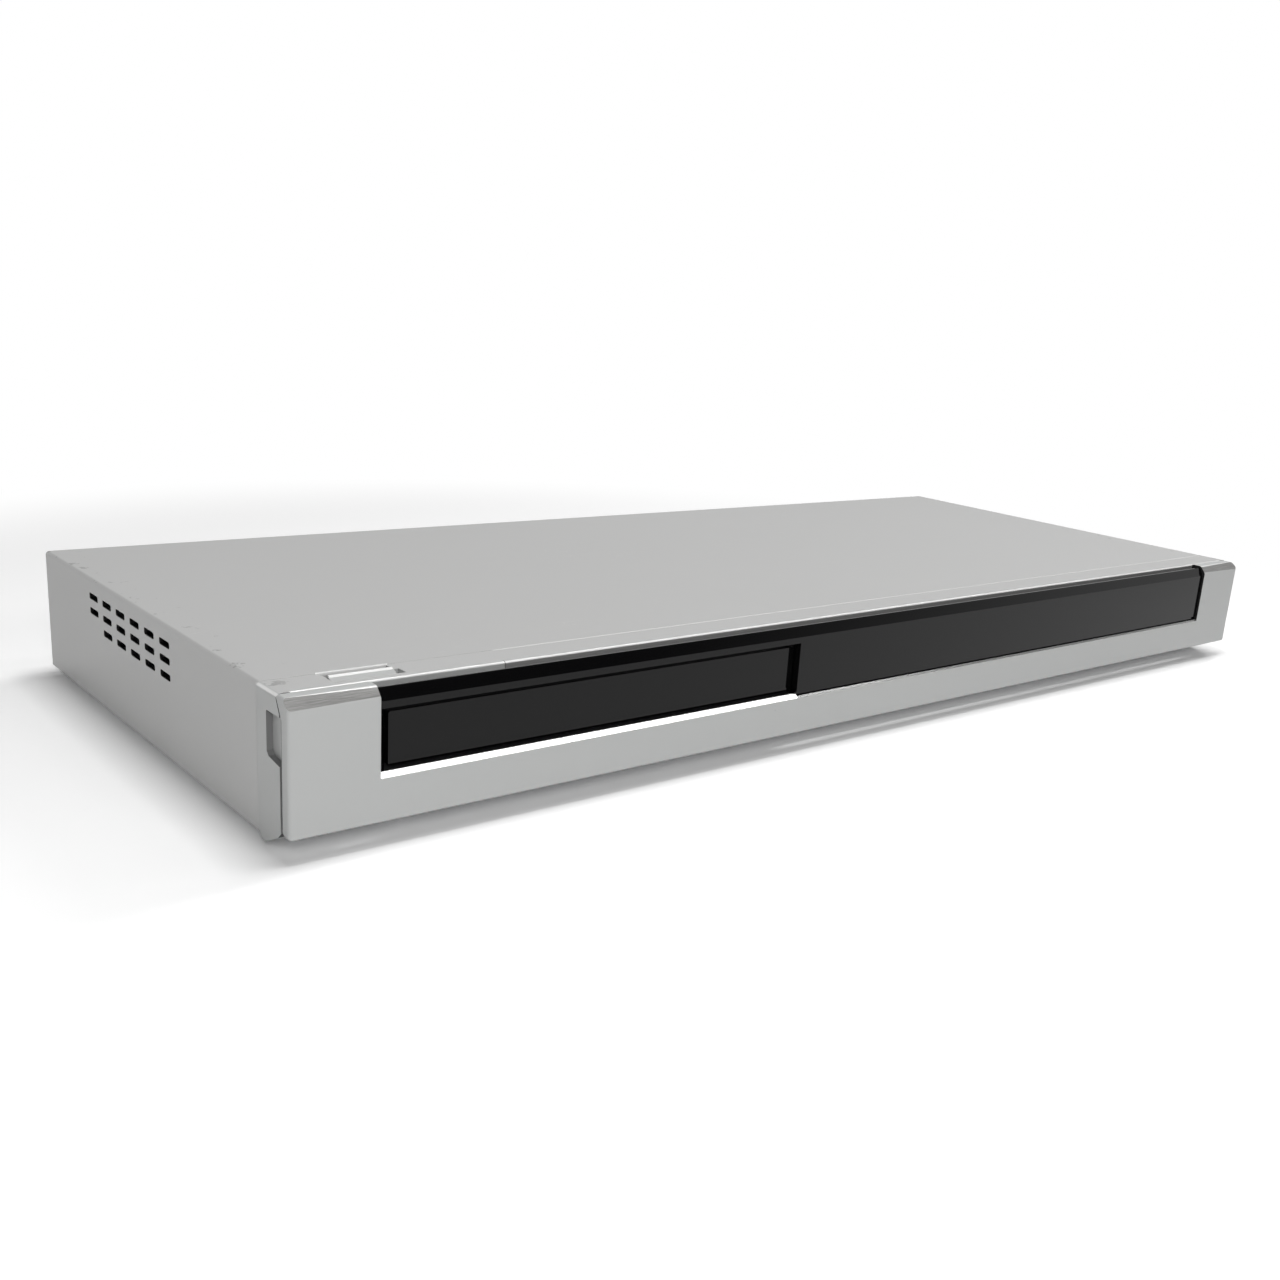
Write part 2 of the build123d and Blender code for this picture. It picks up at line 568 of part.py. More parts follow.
def front_door():
    block = [(0, DOOR_BOTTOM), (0, BODY_HEIGHT - BEVEL_DROP), (BEVEL_DEPTH, BODY_HEIGHT),
             (DOOR_TOP_BACK, BODY_HEIGHT), (DOOR_TOP_BACK, BODY_HEIGHT - 0.8),
             (DOOR_THICK, BODY_HEIGHT - 3.7), (DOOR_THICK, DOOR_BOTTOM)]
    door = bar(block, -HALF, HALF, {0: 0.6, 6: HINGE_ROUND})
    upright = door.edges().filter_by(Axis.Z).group_by(Axis.Y)[0]
    door = fillet(upright, DOOR_CORNER)
    door &= plate(corners(-HALF, HALF, DOOR_BOTTOM, BODY_HEIGHT), -1, 10, {0: 0.8, 1: 2.6, 2: 2.2, 3: 0.8})
    door -= plate(corners(WINDOW_LEFT, WINDOW_RIGHT, BAR_TOP + 0.2, BODY_HEIGHT + 4), -1, 10)
    tray_edge = [(0, BAR_TOP - 1), (0, BAR_TOP), (LEDGE_DEPTH, BAR_TOP + LEDGE_RISE),
                 (LEDGE_DEPTH + GAP, BAR_TOP - 1)]
    window_edge = [(0, BAR_TOP - 1), (0, BAR_TOP), (WINDOW_FACE - 0.2, BAR_TOP + 0.7),
                   (WINDOW_FACE - 0.1, BAR_TOP - 1)]
    door -= box(WINDOW_LEFT, WINDOW_RIGHT, -1, WINDOW_FACE, BAR_TOP, BAR_TOP + 1)
    door += bar(tray_edge, WINDOW_LEFT, SLOT_RIGHT)
    door += bar(window_edge, SLOT_RIGHT, WINDOW_RIGHT)
    inner_top = BODY_HEIGHT - 6.5
    for x0, x1 in ((-HALF + 2, WINDOW_LEFT - DOOR_WALL), (WINDOW_RIGHT + DOOR_WALL, HALF - 2)):
        door -= box(x0, x1, DOOR_WALL, 10, DOOR_BOTTOM + 5.4, inner_top)
    bay = (WINDOW_RIGHT - WINDOW_LEFT - 2) / DOOR_RIBS
    for number in range(DOOR_RIBS):
        start = WINDOW_LEFT + 1 + bay * number
        door -= box(start + 0.6, start + bay - 0.6, DOOR_WALL, 10, DOOR_BOTTOM + 2.2, BAR_TOP - 1.2)
    for x in (-HINGE_INSET, HINGE_INSET):
        door -= box(x - EAR_WIDTH / 2 - GAP, x + EAR_WIDTH / 2 + GAP, AXIS_DEPTH - EAR_R - 0.15, 10,
                    DOOR_BOTTOM - 1, AXIS_HEIGHT + EAR_R + 0.2)
        door -= cross_rod(x - PIN_HALF, x + PIN_HALF, AXIS_DEPTH, AXIS_HEIGHT, HINGE_PIN_R + 0.02)
    return door


def door_window():
    back = WINDOW_FACE + WINDOW_THICK
    rest = BAR_TOP + 0.2
    bevel_start = BODY_HEIGHT - 3.85
    crest = [(WINDOW_FACE, bevel_start), (2.6, WINDOW_TOP), (3.1, WINDOW_TOP), (3.1, bevel_start + 0.9),
             (back, bevel_start - 0.4)]
    pane = bar([(WINDOW_FACE, WINDOW_FOOT)] + crest + [(back, rest), (WINDOW_FACE + 0.4, rest),
               (WINDOW_FACE + 0.4, WINDOW_FOOT)], SLOT_RIGHT, WINDOW_RIGHT)
    strip = bar([(WINDOW_FACE, STRIP_BOTTOM)] + crest
                + [(back, STRIP_BOTTOM + 1.2), (4.0, STRIP_BOTTOM + 1.2), (4.0, STRIP_BOTTOM)],
                WINDOW_LEFT, SLOT_RIGHT)
    jamb = slab([(WINDOW_LEFT, JAMB_FRONT), (WINDOW_LEFT + JAMB, 4.0), (WINDOW_LEFT, 4.0)],
                rest, STRIP_BOTTOM)
    slot_wall = box(SLOT_RIGHT, SLOT_RIGHT + 1.8, back, 4.0, rest, STRIP_BOTTOM + 1.2)
    return joined(pane, strip, jamb, slot_wall)


def hinge_pin(x):
    return cross_rod(x - PIN_HALF + 0.1, x + PIN_HALF - 0.1, AXIS_DEPTH, AXIS_HEIGHT, HINGE_PIN_R)


def door_hinge_pins():
    return Compound(children=[hinge_pin(-HINGE_INSET), hinge_pin(HINGE_INSET)])


def power_button():
    right = POWER_LEFT + POWER_WIDTH
    crest = POWER_FRONT + POWER_RIDGE
    head = bar([(POWER_FRONT, DECK_UNDER - 0.5), (POWER_FRONT, BODY_HEIGHT - 1.2),
                (crest - 0.3, BODY_HEIGHT + POWER_PROUD), (crest + 0.2, BODY_HEIGHT + POWER_PROUD),
                (crest + 0.7, BODY_HEIGHT - POWER_DISH), (POWER_BACK, BODY_HEIGHT - POWER_DISH),
                (POWER_BACK, DECK_UNDER - 0.5)], POWER_LEFT, right)
    flange = box(POWER_LEFT - 0.8, right + POWER_SLOT + 0.8, POWER_FRONT - 0.5, POWER_BACK + 0.6,
                 DECK_UNDER - 1.2, DECK_UNDER - GAP)
    return head + flange


def panel_button(number):
    x = button_x(number)
    half_w, half_h = BUTTON_WIDTH / 2, BUTTON_HEIGHT / 2
    cap = rounded_plate(x - half_w, x + half_w, BUTTON_Z - half_h, BUTTON_Z + half_h,
                        PANEL_FACE - 0.8, PANEL_INNER + 0.2, 1.5)
    flange = box(x - half_w - 0.8, x + half_w + 0.8, PANEL_INNER + 0.2, PANEL_INNER + 0.8,
                 BUTTON_Z - half_h - 0.8, BUTTON_Z + half_h + 0.8)
    return cap + flange


def front_board():
    board = box(DISPLAY[0] - 6, HALF - 7, FRONT_BOARD, FRONT_BOARD + BOARD, 8, 37)
    lo, hi = FRONT_BOARD - 1, FRONT_BOARD + BOARD + 1
    board -= box(USB_X - 7.4, USB_X + 7.4, lo, hi, USB_Z - 4, USB_Z + 4)
    board -= box(CARD_X - 14.4, CARD_X + 14.4, lo, hi, CARD_Z - 2.4, CARD_Z + 2.4)
    board -= box(IC_X - 29.4, IC_X + 29.4, lo, hi, IC_Z - 2.8, IC_Z + 2.8)
    return board


def display_module():
    return rounded_plate(*DISPLAY, PANEL_FACE + 0.5, FRONT_BOARD, 1.0)


def switch(x, z):
    return box(x - 3, x + 3, FRONT_BOARD - 0.7, FRONT_BOARD, z - 2.4, z + 2.4)


def key_switches():
    switches = [switch(button_x(number), BUTTON_Z) for number in range(len(BUTTON_NAMES))]
    middle = POWER_LEFT + POWER_WIDTH / 2
    depth = (POWER_FRONT + POWER_BACK) / 2
    switches.append(box(middle - 3, middle + 3, depth - 3, depth + 3, 35.3, DECK_UNDER - 1.3 - POWER_TRAVEL))
    return Compound(children=switches)


def front_usb_socket():
    shell = box(USB_X - 7, USB_X + 7, PANEL_FACE + 0.2, 20, USB_Z - 3.5, USB_Z + 3.5)
    mouth = box(USB_X - 6.3, USB_X + 6.3, PANEL_FACE - 1, 18, USB_Z - 2.6, USB_Z + 2.6)
    tongue = box(USB_X - 5.6, USB_X + 5.6, PANEL_FACE + 1, 18.5, USB_Z + 0.2, USB_Z + 2.0)
    return shell - mouth + tongue


def memory_card_slot():
    shell = box(CARD_X - 14, CARD_X + 14, PANEL_FACE + 0.2, 30, CARD_Z - 2, CARD_Z + 2)
    return shell - box(CARD_X - 12.2, CARD_X + 12.2, PANEL_FACE - 1, 28, CARD_Z - 1.2, CARD_Z + 1.2)


def ic_card_slot():
    shell = box(IC_X - 29, IC_X + 29, PANEL_FACE + 0.2, 38, IC_Z - 2.3, IC_Z + 2.3)
    return shell - box(IC_X - 27.2, IC_X + 27.2, PANEL_FACE - 1, 36, IC_Z - 0.8, IC_Z + 0.8)


# Disc drive

def rack():
    """Teeth that point in towards the gear, a gap of theirs level with its axis."""
    pitch = pi * RACK_MODULE
    start = GEAR_DEPTH - 3.5 * pitch
    back = TRAY_HALF - TRAY_SKIRT + 0.5
    root = RACK_LINE + 1.2 * RACK_MODULE
    tip = RACK_LINE - 0.9 * RACK_MODULE
    half = pitch / 4 - RACK_BACKLASH / 2
    slope = tan(radians(20))
    points = [(tray_x(back), start - half - 1)]
    for tooth in range(RACK_TEETH):
        middle = start + pitch * tooth
        points.append((tray_x(root), middle - half - slope * (root - RACK_LINE)))
        points.append((tray_x(tip), middle - half + slope * (RACK_LINE - tip)))
        points.append((tray_x(tip), middle + half - slope * (RACK_LINE - tip)))
        points.append((tray_x(root), middle + half + slope * (root - RACK_LINE)))
    end = start + pitch * (RACK_TEETH - 1) + half + 1
    points.append((tray_x(back), end))
    return slab(points, TRAY_BOTTOM, TRAY_UNDER + 0.5)


def disc_tray():
    body = slab(corners(tray_x(-TRAY_HALF), tray_x(TRAY_HALF), FACE_BACK, TRAY_END),
                TRAY_BOTTOM, TRAY_TOP, {2: 4.0, 3: 4.0})
    inner = TRAY_HALF - TRAY_SKIRT
    body -= box(tray_x(-inner), tray_x(inner), FACE_BACK + TRAY_SKIRT, TRAY_END + 1,
                TRAY_BOTTOM - 1, TRAY_UNDER)
    body -= post(TRAY_X, DISC_DEPTH, TRAY_TOP - DISC_SINK, TRAY_TOP + 1, DISC_R)
    body -= post(TRAY_X, DISC_DEPTH, TRAY_TOP - SMALL_DISC_SINK, TRAY_TOP + 1, SMALL_DISC_R)
    body -= post(TRAY_X, DISC_DEPTH, TRAY_UNDER - 1, TRAY_TOP + 1, HUB_HOLE_R)
    left, right = tray_x(-HUB_HOLE_R), tray_x(HUB_HOLE_R)
    body -= box(left, right, DISC_DEPTH, TRAY_END - 14, TRAY_UNDER - 1, TRAY_TOP + 1)
    body -= box(left, right, TRAY_END - 15, TRAY_END + 1, TRAY_UNDER - 1, TRAY_UNDER + 1.9)
    for side in (-1, 1):
        body -= post(tray_x(side * (DISC_R - 3)), DISC_DEPTH, TRAY_TOP - 2.9, TRAY_TOP + 1, 7.0)
    return body + rack()


def tray_front():
    left = tray_x(-FACE_WIDTH / 2)
    right = tray_x(FACE_WIDTH / 2)
    return rounded_plate(left, right, FACE_BOTTOM, FACE_BOTTOM + FACE_HEIGHT, FACE_FRONT, FACE_BACK, 0.6)


CAM_ARM = PIVOT_DEPTH - CAM_DEPTH - CAM_THICK / 2
CAM_PIN_LOW = CAM_PIN_HEIGHT - CAM_ARM * sin(radians(TRAVERSE_DROP))


def drive_frame():
    wall = box(tray_x(FRAME_HALF - FRAME_WALL), tray_x(FRAME_HALF), FRAME_FRONT, FRAME_END,
               FRAME_BOTTOM, FRAME_TOP)
    inner = FRAME_HALF - FRAME_WALL
    ledge = box(tray_x(inner - GUIDE), tray_x(inner), FRAME_FRONT, FRAME_END, TRAY_BOTTOM - GAP - 1.3,
                TRAY_BOTTOM - GAP)
    lip = box(tray_x(inner - GUIDE), tray_x(inner), FRAME_FRONT, FRAME_END, TRAY_TOP + GAP, FRAME_TOP)
    side = joined(wall, ledge, lip)
    other = Pos(2 * TRAY_X, 0, 0) * mirrored(side)
    floor = box(tray_x(-inner), tray_x(inner), FRAME_FRONT, FRAME_END, FRAME_BOTTOM, FRAME_DECK)
    floor -= box(tray_x(-42), tray_x(42), 51, FRAME_END - 8, FRAME_BOTTOM - 1, FRAME_DECK + 1)
    floor -= post(tray_x(MOTOR_X), GEAR_DEPTH, FRAME_BOTTOM - 1, FRAME_DECK + 1, MOTOR_R + GAP)
    for x, depth in DRIVE_POSTS:
        floor -= post(x, depth, FRAME_BOTTOM - 1, FRAME_DECK + 1, SCREW_HOLE_R)
    front_wall = box(tray_x(-inner), tray_x(inner), FRAME_FRONT, FRAME_FRONT + 1.8,
                     FRAME_DECK, TRAY_BOTTOM - 1.2)
    back_wall = box(tray_x(-inner), tray_x(inner), FRAME_END - 2, FRAME_END, FRAME_DECK, FRAME_TOP)
    frame = joined(floor, side, other, front_wall, back_wall)
    frame += post(tray_x(DRIVE_GEAR_X), GEAR_DEPTH, FRAME_DECK, TRAY_UNDER - GAP, 2.0)
    frame += post(tray_x(PULLEY_X), GEAR_DEPTH, FRAME_DECK, 19.6, 1.5)
    for x0, x1 in ((42.0, 45.5), (-45.5, -42.0)):
        lug = box(tray_x(x0), tray_x(x1), PIVOT_DEPTH - 4, PIVOT_DEPTH + 4, FRAME_DECK, PIVOT_HEIGHT + 3.5)
        frame += lug - cross_rod(tray_x(x0 - 1), tray_x(x1 + 1), PIVOT_DEPTH, PIVOT_HEIGHT, ROD_R + RUN_FIT)
    cam_back = CAM_DEPTH + CAM_THICK
    fence = CAM_PIN_LOW - 2
    frame += box(tray_x(-22), tray_x(22), CAM_DEPTH - GAP - 1.5, CAM_DEPTH - GAP, FRAME_DECK, fence)
    frame += box(tray_x(-8), tray_x(8), cam_back + GAP, cam_back + GAP + 1.5, FRAME_DECK, fence)
    return frame


WHEEL_Z = (12.0, 14.5)
PINION_Z = (TRAY_BOTTOM + 0.3, TRAY_UNDER - 0.4)
PULLEY_Z = (15.4, 18.8)


def drive_gear():
    """The wheel and the pinion in one piece, the pinion in mesh with the rack."""
    x = tray_x(DRIVE_GEAR_X)
    wheel = gear(WHEEL_TEETH, GEAR_MODULE, GEAR_BACKLASH, x, GEAR_DEPTH, WHEEL_Z[0], WHEEL_Z[1])
    hub = post(x, GEAR_DEPTH, WHEEL_Z[1], PINION_Z[0], 4.6)
    pinion = gear(PINION_TEETH, RACK_MODULE, RACK_BACKLASH, x, GEAR_DEPTH, PINION_Z[0], PINION_Z[1])
    bore = post(x, GEAR_DEPTH, WHEEL_Z[0] - 1, PINION_Z[1] + 1, 2.0 + RUN_FIT)
    return wheel + hub + pinion - bore


def pulley_gear():
    """The belt pulley and its small gear, a gap of which meets the wheel."""
    x = tray_x(PULLEY_X)
    half_tooth = pi / SMALL_TEETH
    small = gear(SMALL_TEETH, GEAR_MODULE, GEAR_BACKLASH, x, GEAR_DEPTH, WHEEL_Z[0], PULLEY_Z[0], half_tooth)
    z0, z1 = PULLEY_Z
    rim = PULLEY_R + PULLEY_FLANGE
    pulley = turned([(1, z0), (rim, z0), (rim, z0 + 0.6), (PULLEY_R, z0 + 1.0), (PULLEY_R, z1 - 1.0),
                     (rim, z1 - 0.6), (rim, z1), (1, z1)], x, GEAR_DEPTH)
    return small + pulley - post(x, GEAR_DEPTH, WHEEL_Z[0] - 1, z1 + 1, 1.5 + RUN_FIT)


def motor_pulley():
    z0, z1 = PULLEY_Z
    rim = MOTOR_PULLEY_R + PULLEY_FLANGE
    return turned([(0, 13.0), (1.0, 13.0), (1.0, z0), (rim, z0), (rim, z0 + 0.6),
                   (MOTOR_PULLEY_R, z0 + 1.0), (MOTOR_PULLEY_R, z1 - 1.0), (rim, z1 - 0.6),
                   (rim, z1), (0, z1)],
                  tray_x(MOTOR_X), GEAR_DEPTH)


def loading_motor():
    x = tray_x(MOTOR_X)
    can = turned([(0, 5.4), (3.0, 5.4), (3.0, 6.2), (MOTOR_R - 1, 6.2), (MOTOR_R, 7.2), (MOTOR_R, 14.0),
                  (MOTOR_R - 0.6, 14.4), (3.2, 14.4), (3.2, 15.0), (0, 15.0)], x, GEAR_DEPTH)
    return can - post(x, GEAR_DEPTH, 12.9, 16, 1.0 + RUN_FIT)


def belt_loop(grow, z0, z1):
    """The outline of a belt round both pulleys, pushed out by a distance."""
    big = Pos(tray_x(PULLEY_X), FRONT + GEAR_DEPTH) * Circle(PULLEY_R + grow)
    small = Pos(tray_x(MOTOR_X), FRONT + GEAR_DEPTH) * Circle(MOTOR_PULLEY_R + grow)
    span = PULLEY_X - MOTOR_X
    lean = asin((PULLEY_R - MOTOR_PULLEY_R) / span)
    web = []
    for x, radius in ((MOTOR_X, MOTOR_PULLEY_R), (PULLEY_X, PULLEY_R)):
        reach = radius + grow
        for side in (-1, 1):
            web.append((tray_x(x) - reach * sin(lean), FRONT + GEAR_DEPTH + side * reach * cos(lean)))
    middle = make_face(Polyline(web[0], web[2], web[3], web[1], close=True))
    return extrude(Pos(0, 0, z0) * (big + small + middle), amount=z1 - z0, dir=(0, 0, 1))


def loading_belt():
    middle = (PULLEY_Z[0] + PULLEY_Z[1]) / 2
    z0, z1 = middle - BELT / 2, middle + BELT / 2
    return belt_loop(0.08 + BELT, z0, z1) - belt_loop(0.08, z0 - 1, z1 + 1)


def cam_slider():
    """A plate that slides sideways and lifts the traverse by two sloping slots."""
    left = -CAM_PIN_X - CAM_TRAVEL - 5
    right = CAM_PIN_X + 5
    low = FRAME_DECK + GAP
    top = TRAY_UNDER - GAP
    bar_plate = rounded_plate(tray_x(left), tray_x(right), low, top,
                              CAM_DEPTH, CAM_DEPTH + CAM_THICK, 1.2)
    rise = CAM_PIN_HEIGHT - CAM_PIN_LOW
    length = (CAM_TRAVEL ** 2 + rise ** 2) ** 0.5
    slope = degrees(asin(rise / length))
    for pin in (-CAM_PIN_X, CAM_PIN_X):
        slot = SlotCenterToCenter(length, 2 * (CAM_PIN_R + 0.45))
        middle = Pos(tray_x(pin - CAM_TRAVEL / 2), FRONT + CAM_DEPTH - 1,
                     (CAM_PIN_LOW + CAM_PIN_HEIGHT) / 2)
        face = middle * (Plane.XZ * (Rot(0, 0, -slope) * slot))
        bar_plate -= extrude(face, amount=CAM_THICK + 2, dir=(0, 1, 0))
    return bar_plate


def lowered(shape):
    """Tip a piece of the traverse down about its pivot, as it rests with the tray free."""
    pivot = Axis((0, FRONT + PIVOT_DEPTH, PIVOT_HEIGHT), (1, 0, 0))
    return shape.rotate(pivot, TRAVERSE_DROP)


def traverse_chassis():
    top = TRAVERSE_UNDER + TRAVERSE_PLATE
    deck = slab(corners(tray_x(-TRAVERSE_HALF), tray_x(TRAVERSE_HALF), TRAVERSE_FRONT, TRAVERSE_END),
                TRAVERSE_UNDER, top, {i: 3.0 for i in range(4)})
    deck -= box(tray_x(-26), tray_x(26), BAY_FRONT, BAY_BACK, TRAVERSE_UNDER - 1, top + 1)
    deck -= box(tray_x(-37), tray_x(-25), BAY_BACK, TRAVERSE_END + 1, TRAVERSE_UNDER - 1, top + 1)
    deck -= post(TRAY_X, DISC_DEPTH, TRAVERSE_UNDER - 1, top + 1, 8.0)
    for side in (-1, 1):
        edge = sorted((side * (TRAVERSE_HALF - 1.2), side * TRAVERSE_HALF))
        deck += box(tray_x(edge[0]), tray_x(edge[1]), TRAVERSE_FRONT + 4, BAY_BACK - 1,
                    TRAVERSE_UNDER - 3.5, TRAVERSE_UNDER)
        pin = sorted((side * (TRAVERSE_HALF - 1), side * 45.0))
        deck += cross_rod(tray_x(pin[0]), tray_x(pin[1]), PIVOT_DEPTH, PIVOT_HEIGHT, ROD_R)
        lug = side * CAM_PIN_X
        deck += box(tray_x(lug - 3), tray_x(lug + 3), TRAVERSE_FRONT, TRAVERSE_FRONT + 2,
                    TRAVERSE_UNDER, CAM_PIN_HEIGHT + 1.9)
        deck += long_rod(tray_x(lug), CAM_PIN_HEIGHT, CAM_DEPTH - 0.5, TRAVERSE_FRONT, CAM_PIN_R)
        for d0 in (BAY_FRONT - ROD_CLIP, BAY_BACK):
            deck += box(tray_x(side * ROD_X - 2.6), tray_x(side * ROD_X + 2.6), d0, d0 + ROD_CLIP,
                        ROD_HEIGHT - 2.4, TRAVERSE_UNDER)
    deck += box(tray_x(SCREW_X - 2.5), tray_x(SCREW_X + 2.5), BAY_FRONT - 2, BAY_FRONT,
                ROD_HEIGHT - 2.4, TRAVERSE_UNDER)
    for x in (-ROD_X, ROD_X):
        deck -= long_rod(tray_x(x), ROD_HEIGHT, BAY_FRONT - 6, BAY_BACK + 6, ROD_R + RUN_FIT)
    return deck - long_rod(tray_x(SCREW_X), ROD_HEIGHT, BAY_FRONT - 3, BAY_FRONT + 1, SCREW_END_R + RUN_FIT)


SPINDLE_Z = (18.6, 25.9)


def spindle_motor():
    base, top = SPINDLE_Z
    can = turned([(0, base - 2.6), (3.0, base - 2.6), (3.0, base), (SPINDLE_R, base), (SPINDLE_R, top - 1),
                  (SPINDLE_R - 1, top), (0, top)], TRAY_X, DISC_DEPTH)
    return can - post(TRAY_X, DISC_DEPTH, top - 4, top + 1, 1.0 + RUN_FIT)


def turntable():
    top = SPINDLE_Z[1]
    return turned([(0, top - 3.8), (1.0, top - 3.8), (1.0, top + 0.3), (SPINDLE_R - 0.4, top + 0.3),
                   (SPINDLE_R, top + 0.8), (SPINDLE_R, top + 2.7), (9.0, top + 2.7), (9.0, top + 2.2),
                   (7.4, top + 2.2), (7.2, top + 3.3),
                   (5.6, top + 4.5), (2.2, top + 4.5), (2.2, top + 3.8), (0, top + 3.8)], TRAY_X, DISC_DEPTH)


def pickup_head():
    front, back = PICKUP_DEPTH - PICKUP_FRONT, PICKUP_DEPTH + PICKUP_BACK
    body_top = ROD_HEIGHT + 5.4
    lens_base = ROD_HEIGHT + 9.6
    body = rounded_slab(tray_x(-18), tray_x(18), front, back, ROD_HEIGHT - 2.4, body_top, 2.0)
    arms = box(tray_x(-ROD_X - 3), tray_x(ROD_X + 3), front + 3, back - 3,
               ROD_HEIGHT - 2.4, TRAVERSE_UNDER - 0.3)
    nut = box(tray_x(SCREW_X - 3), tray_x(-ROD_X), PICKUP_DEPTH - 4, PICKUP_DEPTH + 4, ROD_HEIGHT - 2.4,
              TRAVERSE_UNDER - 0.3)
    actuator = rounded_slab(tray_x(-9), tray_x(9), PICKUP_DEPTH - 8, PICKUP_DEPTH + 8,
                            body_top, lens_base, 1.5)
    lens = turned([(0, lens_base), (4.2, lens_base), (4.2, lens_base + 0.8), (3.0, lens_base + 0.8),
                   (1.8, lens_base + 1.4), (0, lens_base + 1.7)], TRAY_X, PICKUP_DEPTH)
    head = joined(body, arms, nut, actuator, lens)
    for side in (-1, 1):
        head -= long_rod(tray_x(side * ROD_X), ROD_HEIGHT, front - 5, back + 5, ROD_R + RUN_FIT)
    return head - long_rod(tray_x(SCREW_X), ROD_HEIGHT, front - 5, back + 5, SCREW_R + RUN_FIT)


def guide_rods():
    start, end = BAY_FRONT - ROD_CLIP + 0.1, BAY_BACK + ROD_CLIP - 0.1
    return joined(*[long_rod(tray_x(x), ROD_HEIGHT, start, end, ROD_R) for x in (-ROD_X, ROD_X)])


def lead_screw():
    x = tray_x(SCREW_X)
    ends = long_rod(x, ROD_HEIGHT, BAY_FRONT - 1.8, BAY_BACK + 3, SCREW_END_R)
    return ends + long_rod(x, ROD_HEIGHT, BAY_FRONT + 1, BAY_BACK + 0.2, SCREW_R)


def sled_motor():
    x = tray_x(SCREW_X)
    face = BAY_BACK + 1
    can = long_rod(x, ROD_HEIGHT, face, face + 11, 5.0) + long_rod(x, ROD_HEIGHT, face - 0.6, face, 2.0)
    tab = box(x - 7.0, x + 5.5, face + 1, face + 2.2, ROD_HEIGHT - 2, TRAVERSE_UNDER)
    return can + tab - long_rod(x, ROD_HEIGHT, face - 1, face + 2.5, SCREW_END_R + RUN_FIT)


def clamp_bridge():
    half = FRAME_HALF
    strap = box(tray_x(-half), tray_x(half), DISC_DEPTH - 17, DISC_DEPTH + 17, FRAME_TOP, FRAME_TOP + 0.8)
    dome = turned([(15.0, FRAME_TOP + 0.8), (17.0, FRAME_TOP + 0.8), (16.4, FRAME_TOP + 1.5),
                   (15.0, FRAME_TOP + 1.5)], TRAY_X, DISC_DEPTH)
    return strap + dome - post(TRAY_X, DISC_DEPTH, FRAME_TOP - 1, FRAME_TOP + 3, 11.2)


def clamper():
    z = FRAME_TOP
    return turned([(0, z - 1.0), (1.8, z - 1.0), (1.8, z - 0.4), (8.0, z - 0.4), (8.0, z - 1.0),
                   (12.6, z - 1.0), (12.6, z - 0.3), (10.6, z - 0.3), (10.6, z + 1.1), (14.0, z + 1.1),
                   (14.0, z + 2.0),
                   (12.0, z + 2.6), (0, z + 2.6)], TRAY_X, DISC_DEPTH)


# Hard disk

def hard_disk():
    x0, x1 = DISK_LEFT, DISK_LEFT + DISK_LENGTH
    d0, d1 = DISK_FRONT, DISK_FRONT + DISK_WIDTH
    top = DISK_BOTTOM + DISK_HEIGHT
    casting = rounded_slab(x0, x1, d0, d1, DISK_BOTTOM, top - 1.0, 3.0)
    lid = rounded_slab(x0 + 3, x1 - 3, d0 + 2.5, d1 - 2.5, top - 1.0, top, 4.0)
    spindle = (x0 + 58, (d0 + d1) / 2)
    lid -= post(spindle[0], spindle[1], top - 0.5, top + 1, 12.0)
    lid += post(spindle[0], spindle[1], top - 1.0, top, 8.0)
    return casting + lid


def disk_bracket():
    x0, x1 = DISK_LEFT, DISK_LEFT + DISK_LENGTH
    d0, d1 = DISK_FRONT + 3, DISK_FRONT + DISK_WIDTH - 3
    low = DISK_BOTTOM - SHEET
    base = box(x0 - 1.2, x1 + 1.2, d0, d1, low, DISK_BOTTOM)
    base -= rounded_slab(x0 + 22, x1 - 22, d0 + 16, d1 - 16, low - 1, DISK_BOTTOM + 1, 4.0)
    for x in (x0 - 1.2, x1 + 0.2):
        base += box(x, x + 1.0, d1 - 36, d1 - 6, DISK_BOTTOM, DISK_BOTTOM + 10)
    for x, depth in DISK_POSTS:
        base -= post(x, depth, low - 1, DISK_BOTTOM + 1, SCREW_HOLE_R)
    return base


def damper(x, depth):
    low, top = FLOOR_TOP, DISK_BOTTOM - SHEET
    middle = (low + top) / 2
    return turned([(SCREW_HOLE_R + 0.1, low), (4.5, low), (4.5, middle - 0.8), (3.4, middle),
                   (4.5, middle + 0.8), (4.5, top), (SCREW_HOLE_R + 0.1, top)], x, depth)


def disk_dampers():
    return Compound(children=[damper(x, depth) for x, depth in DISK_POSTS])


# Mains supply

def power_board():
    x0, x1, d0, d1 = POWER_BOARD
    return box(x0, x1, d0, d1, BOARD_HEIGHT, BOARD_TOP)


def power_transformer():
    x, d, z = SUPPLY_X + 32.0, 66.0, BOARD_TOP
    bobbin = box(x - 16, x + 16, d - 14, d + 14, z, z + 2.4)
    flange = box(x - 13, x + 13, d - 14, d + 14, z + 19, z + 20.6)
    winding = post(x, d, z + 2.4, z + 19, 11.0)
    core = box(x - 17, x + 17, d - 5, d + 5, z + 2.4, z + 24)
    core -= box(x - 12.5, x + 12.5, d - 6, d + 6, z + 2.4, z + 19)
    return joined(bobbin, winding, flange, core)


CAPACITORS = ((SUPPLY_X + 72, 54.0, 9.0, 23.0), (SUPPLY_X + 72, 78.0, 6.3, 20.0),
              (SUPPLY_X + 10, 96.0, 5.0, 20.0), (SUPPLY_X + 24, 96.0, 5.0, 20.0),
              (SUPPLY_X + 38, 96.0, 4.0, 16.0))


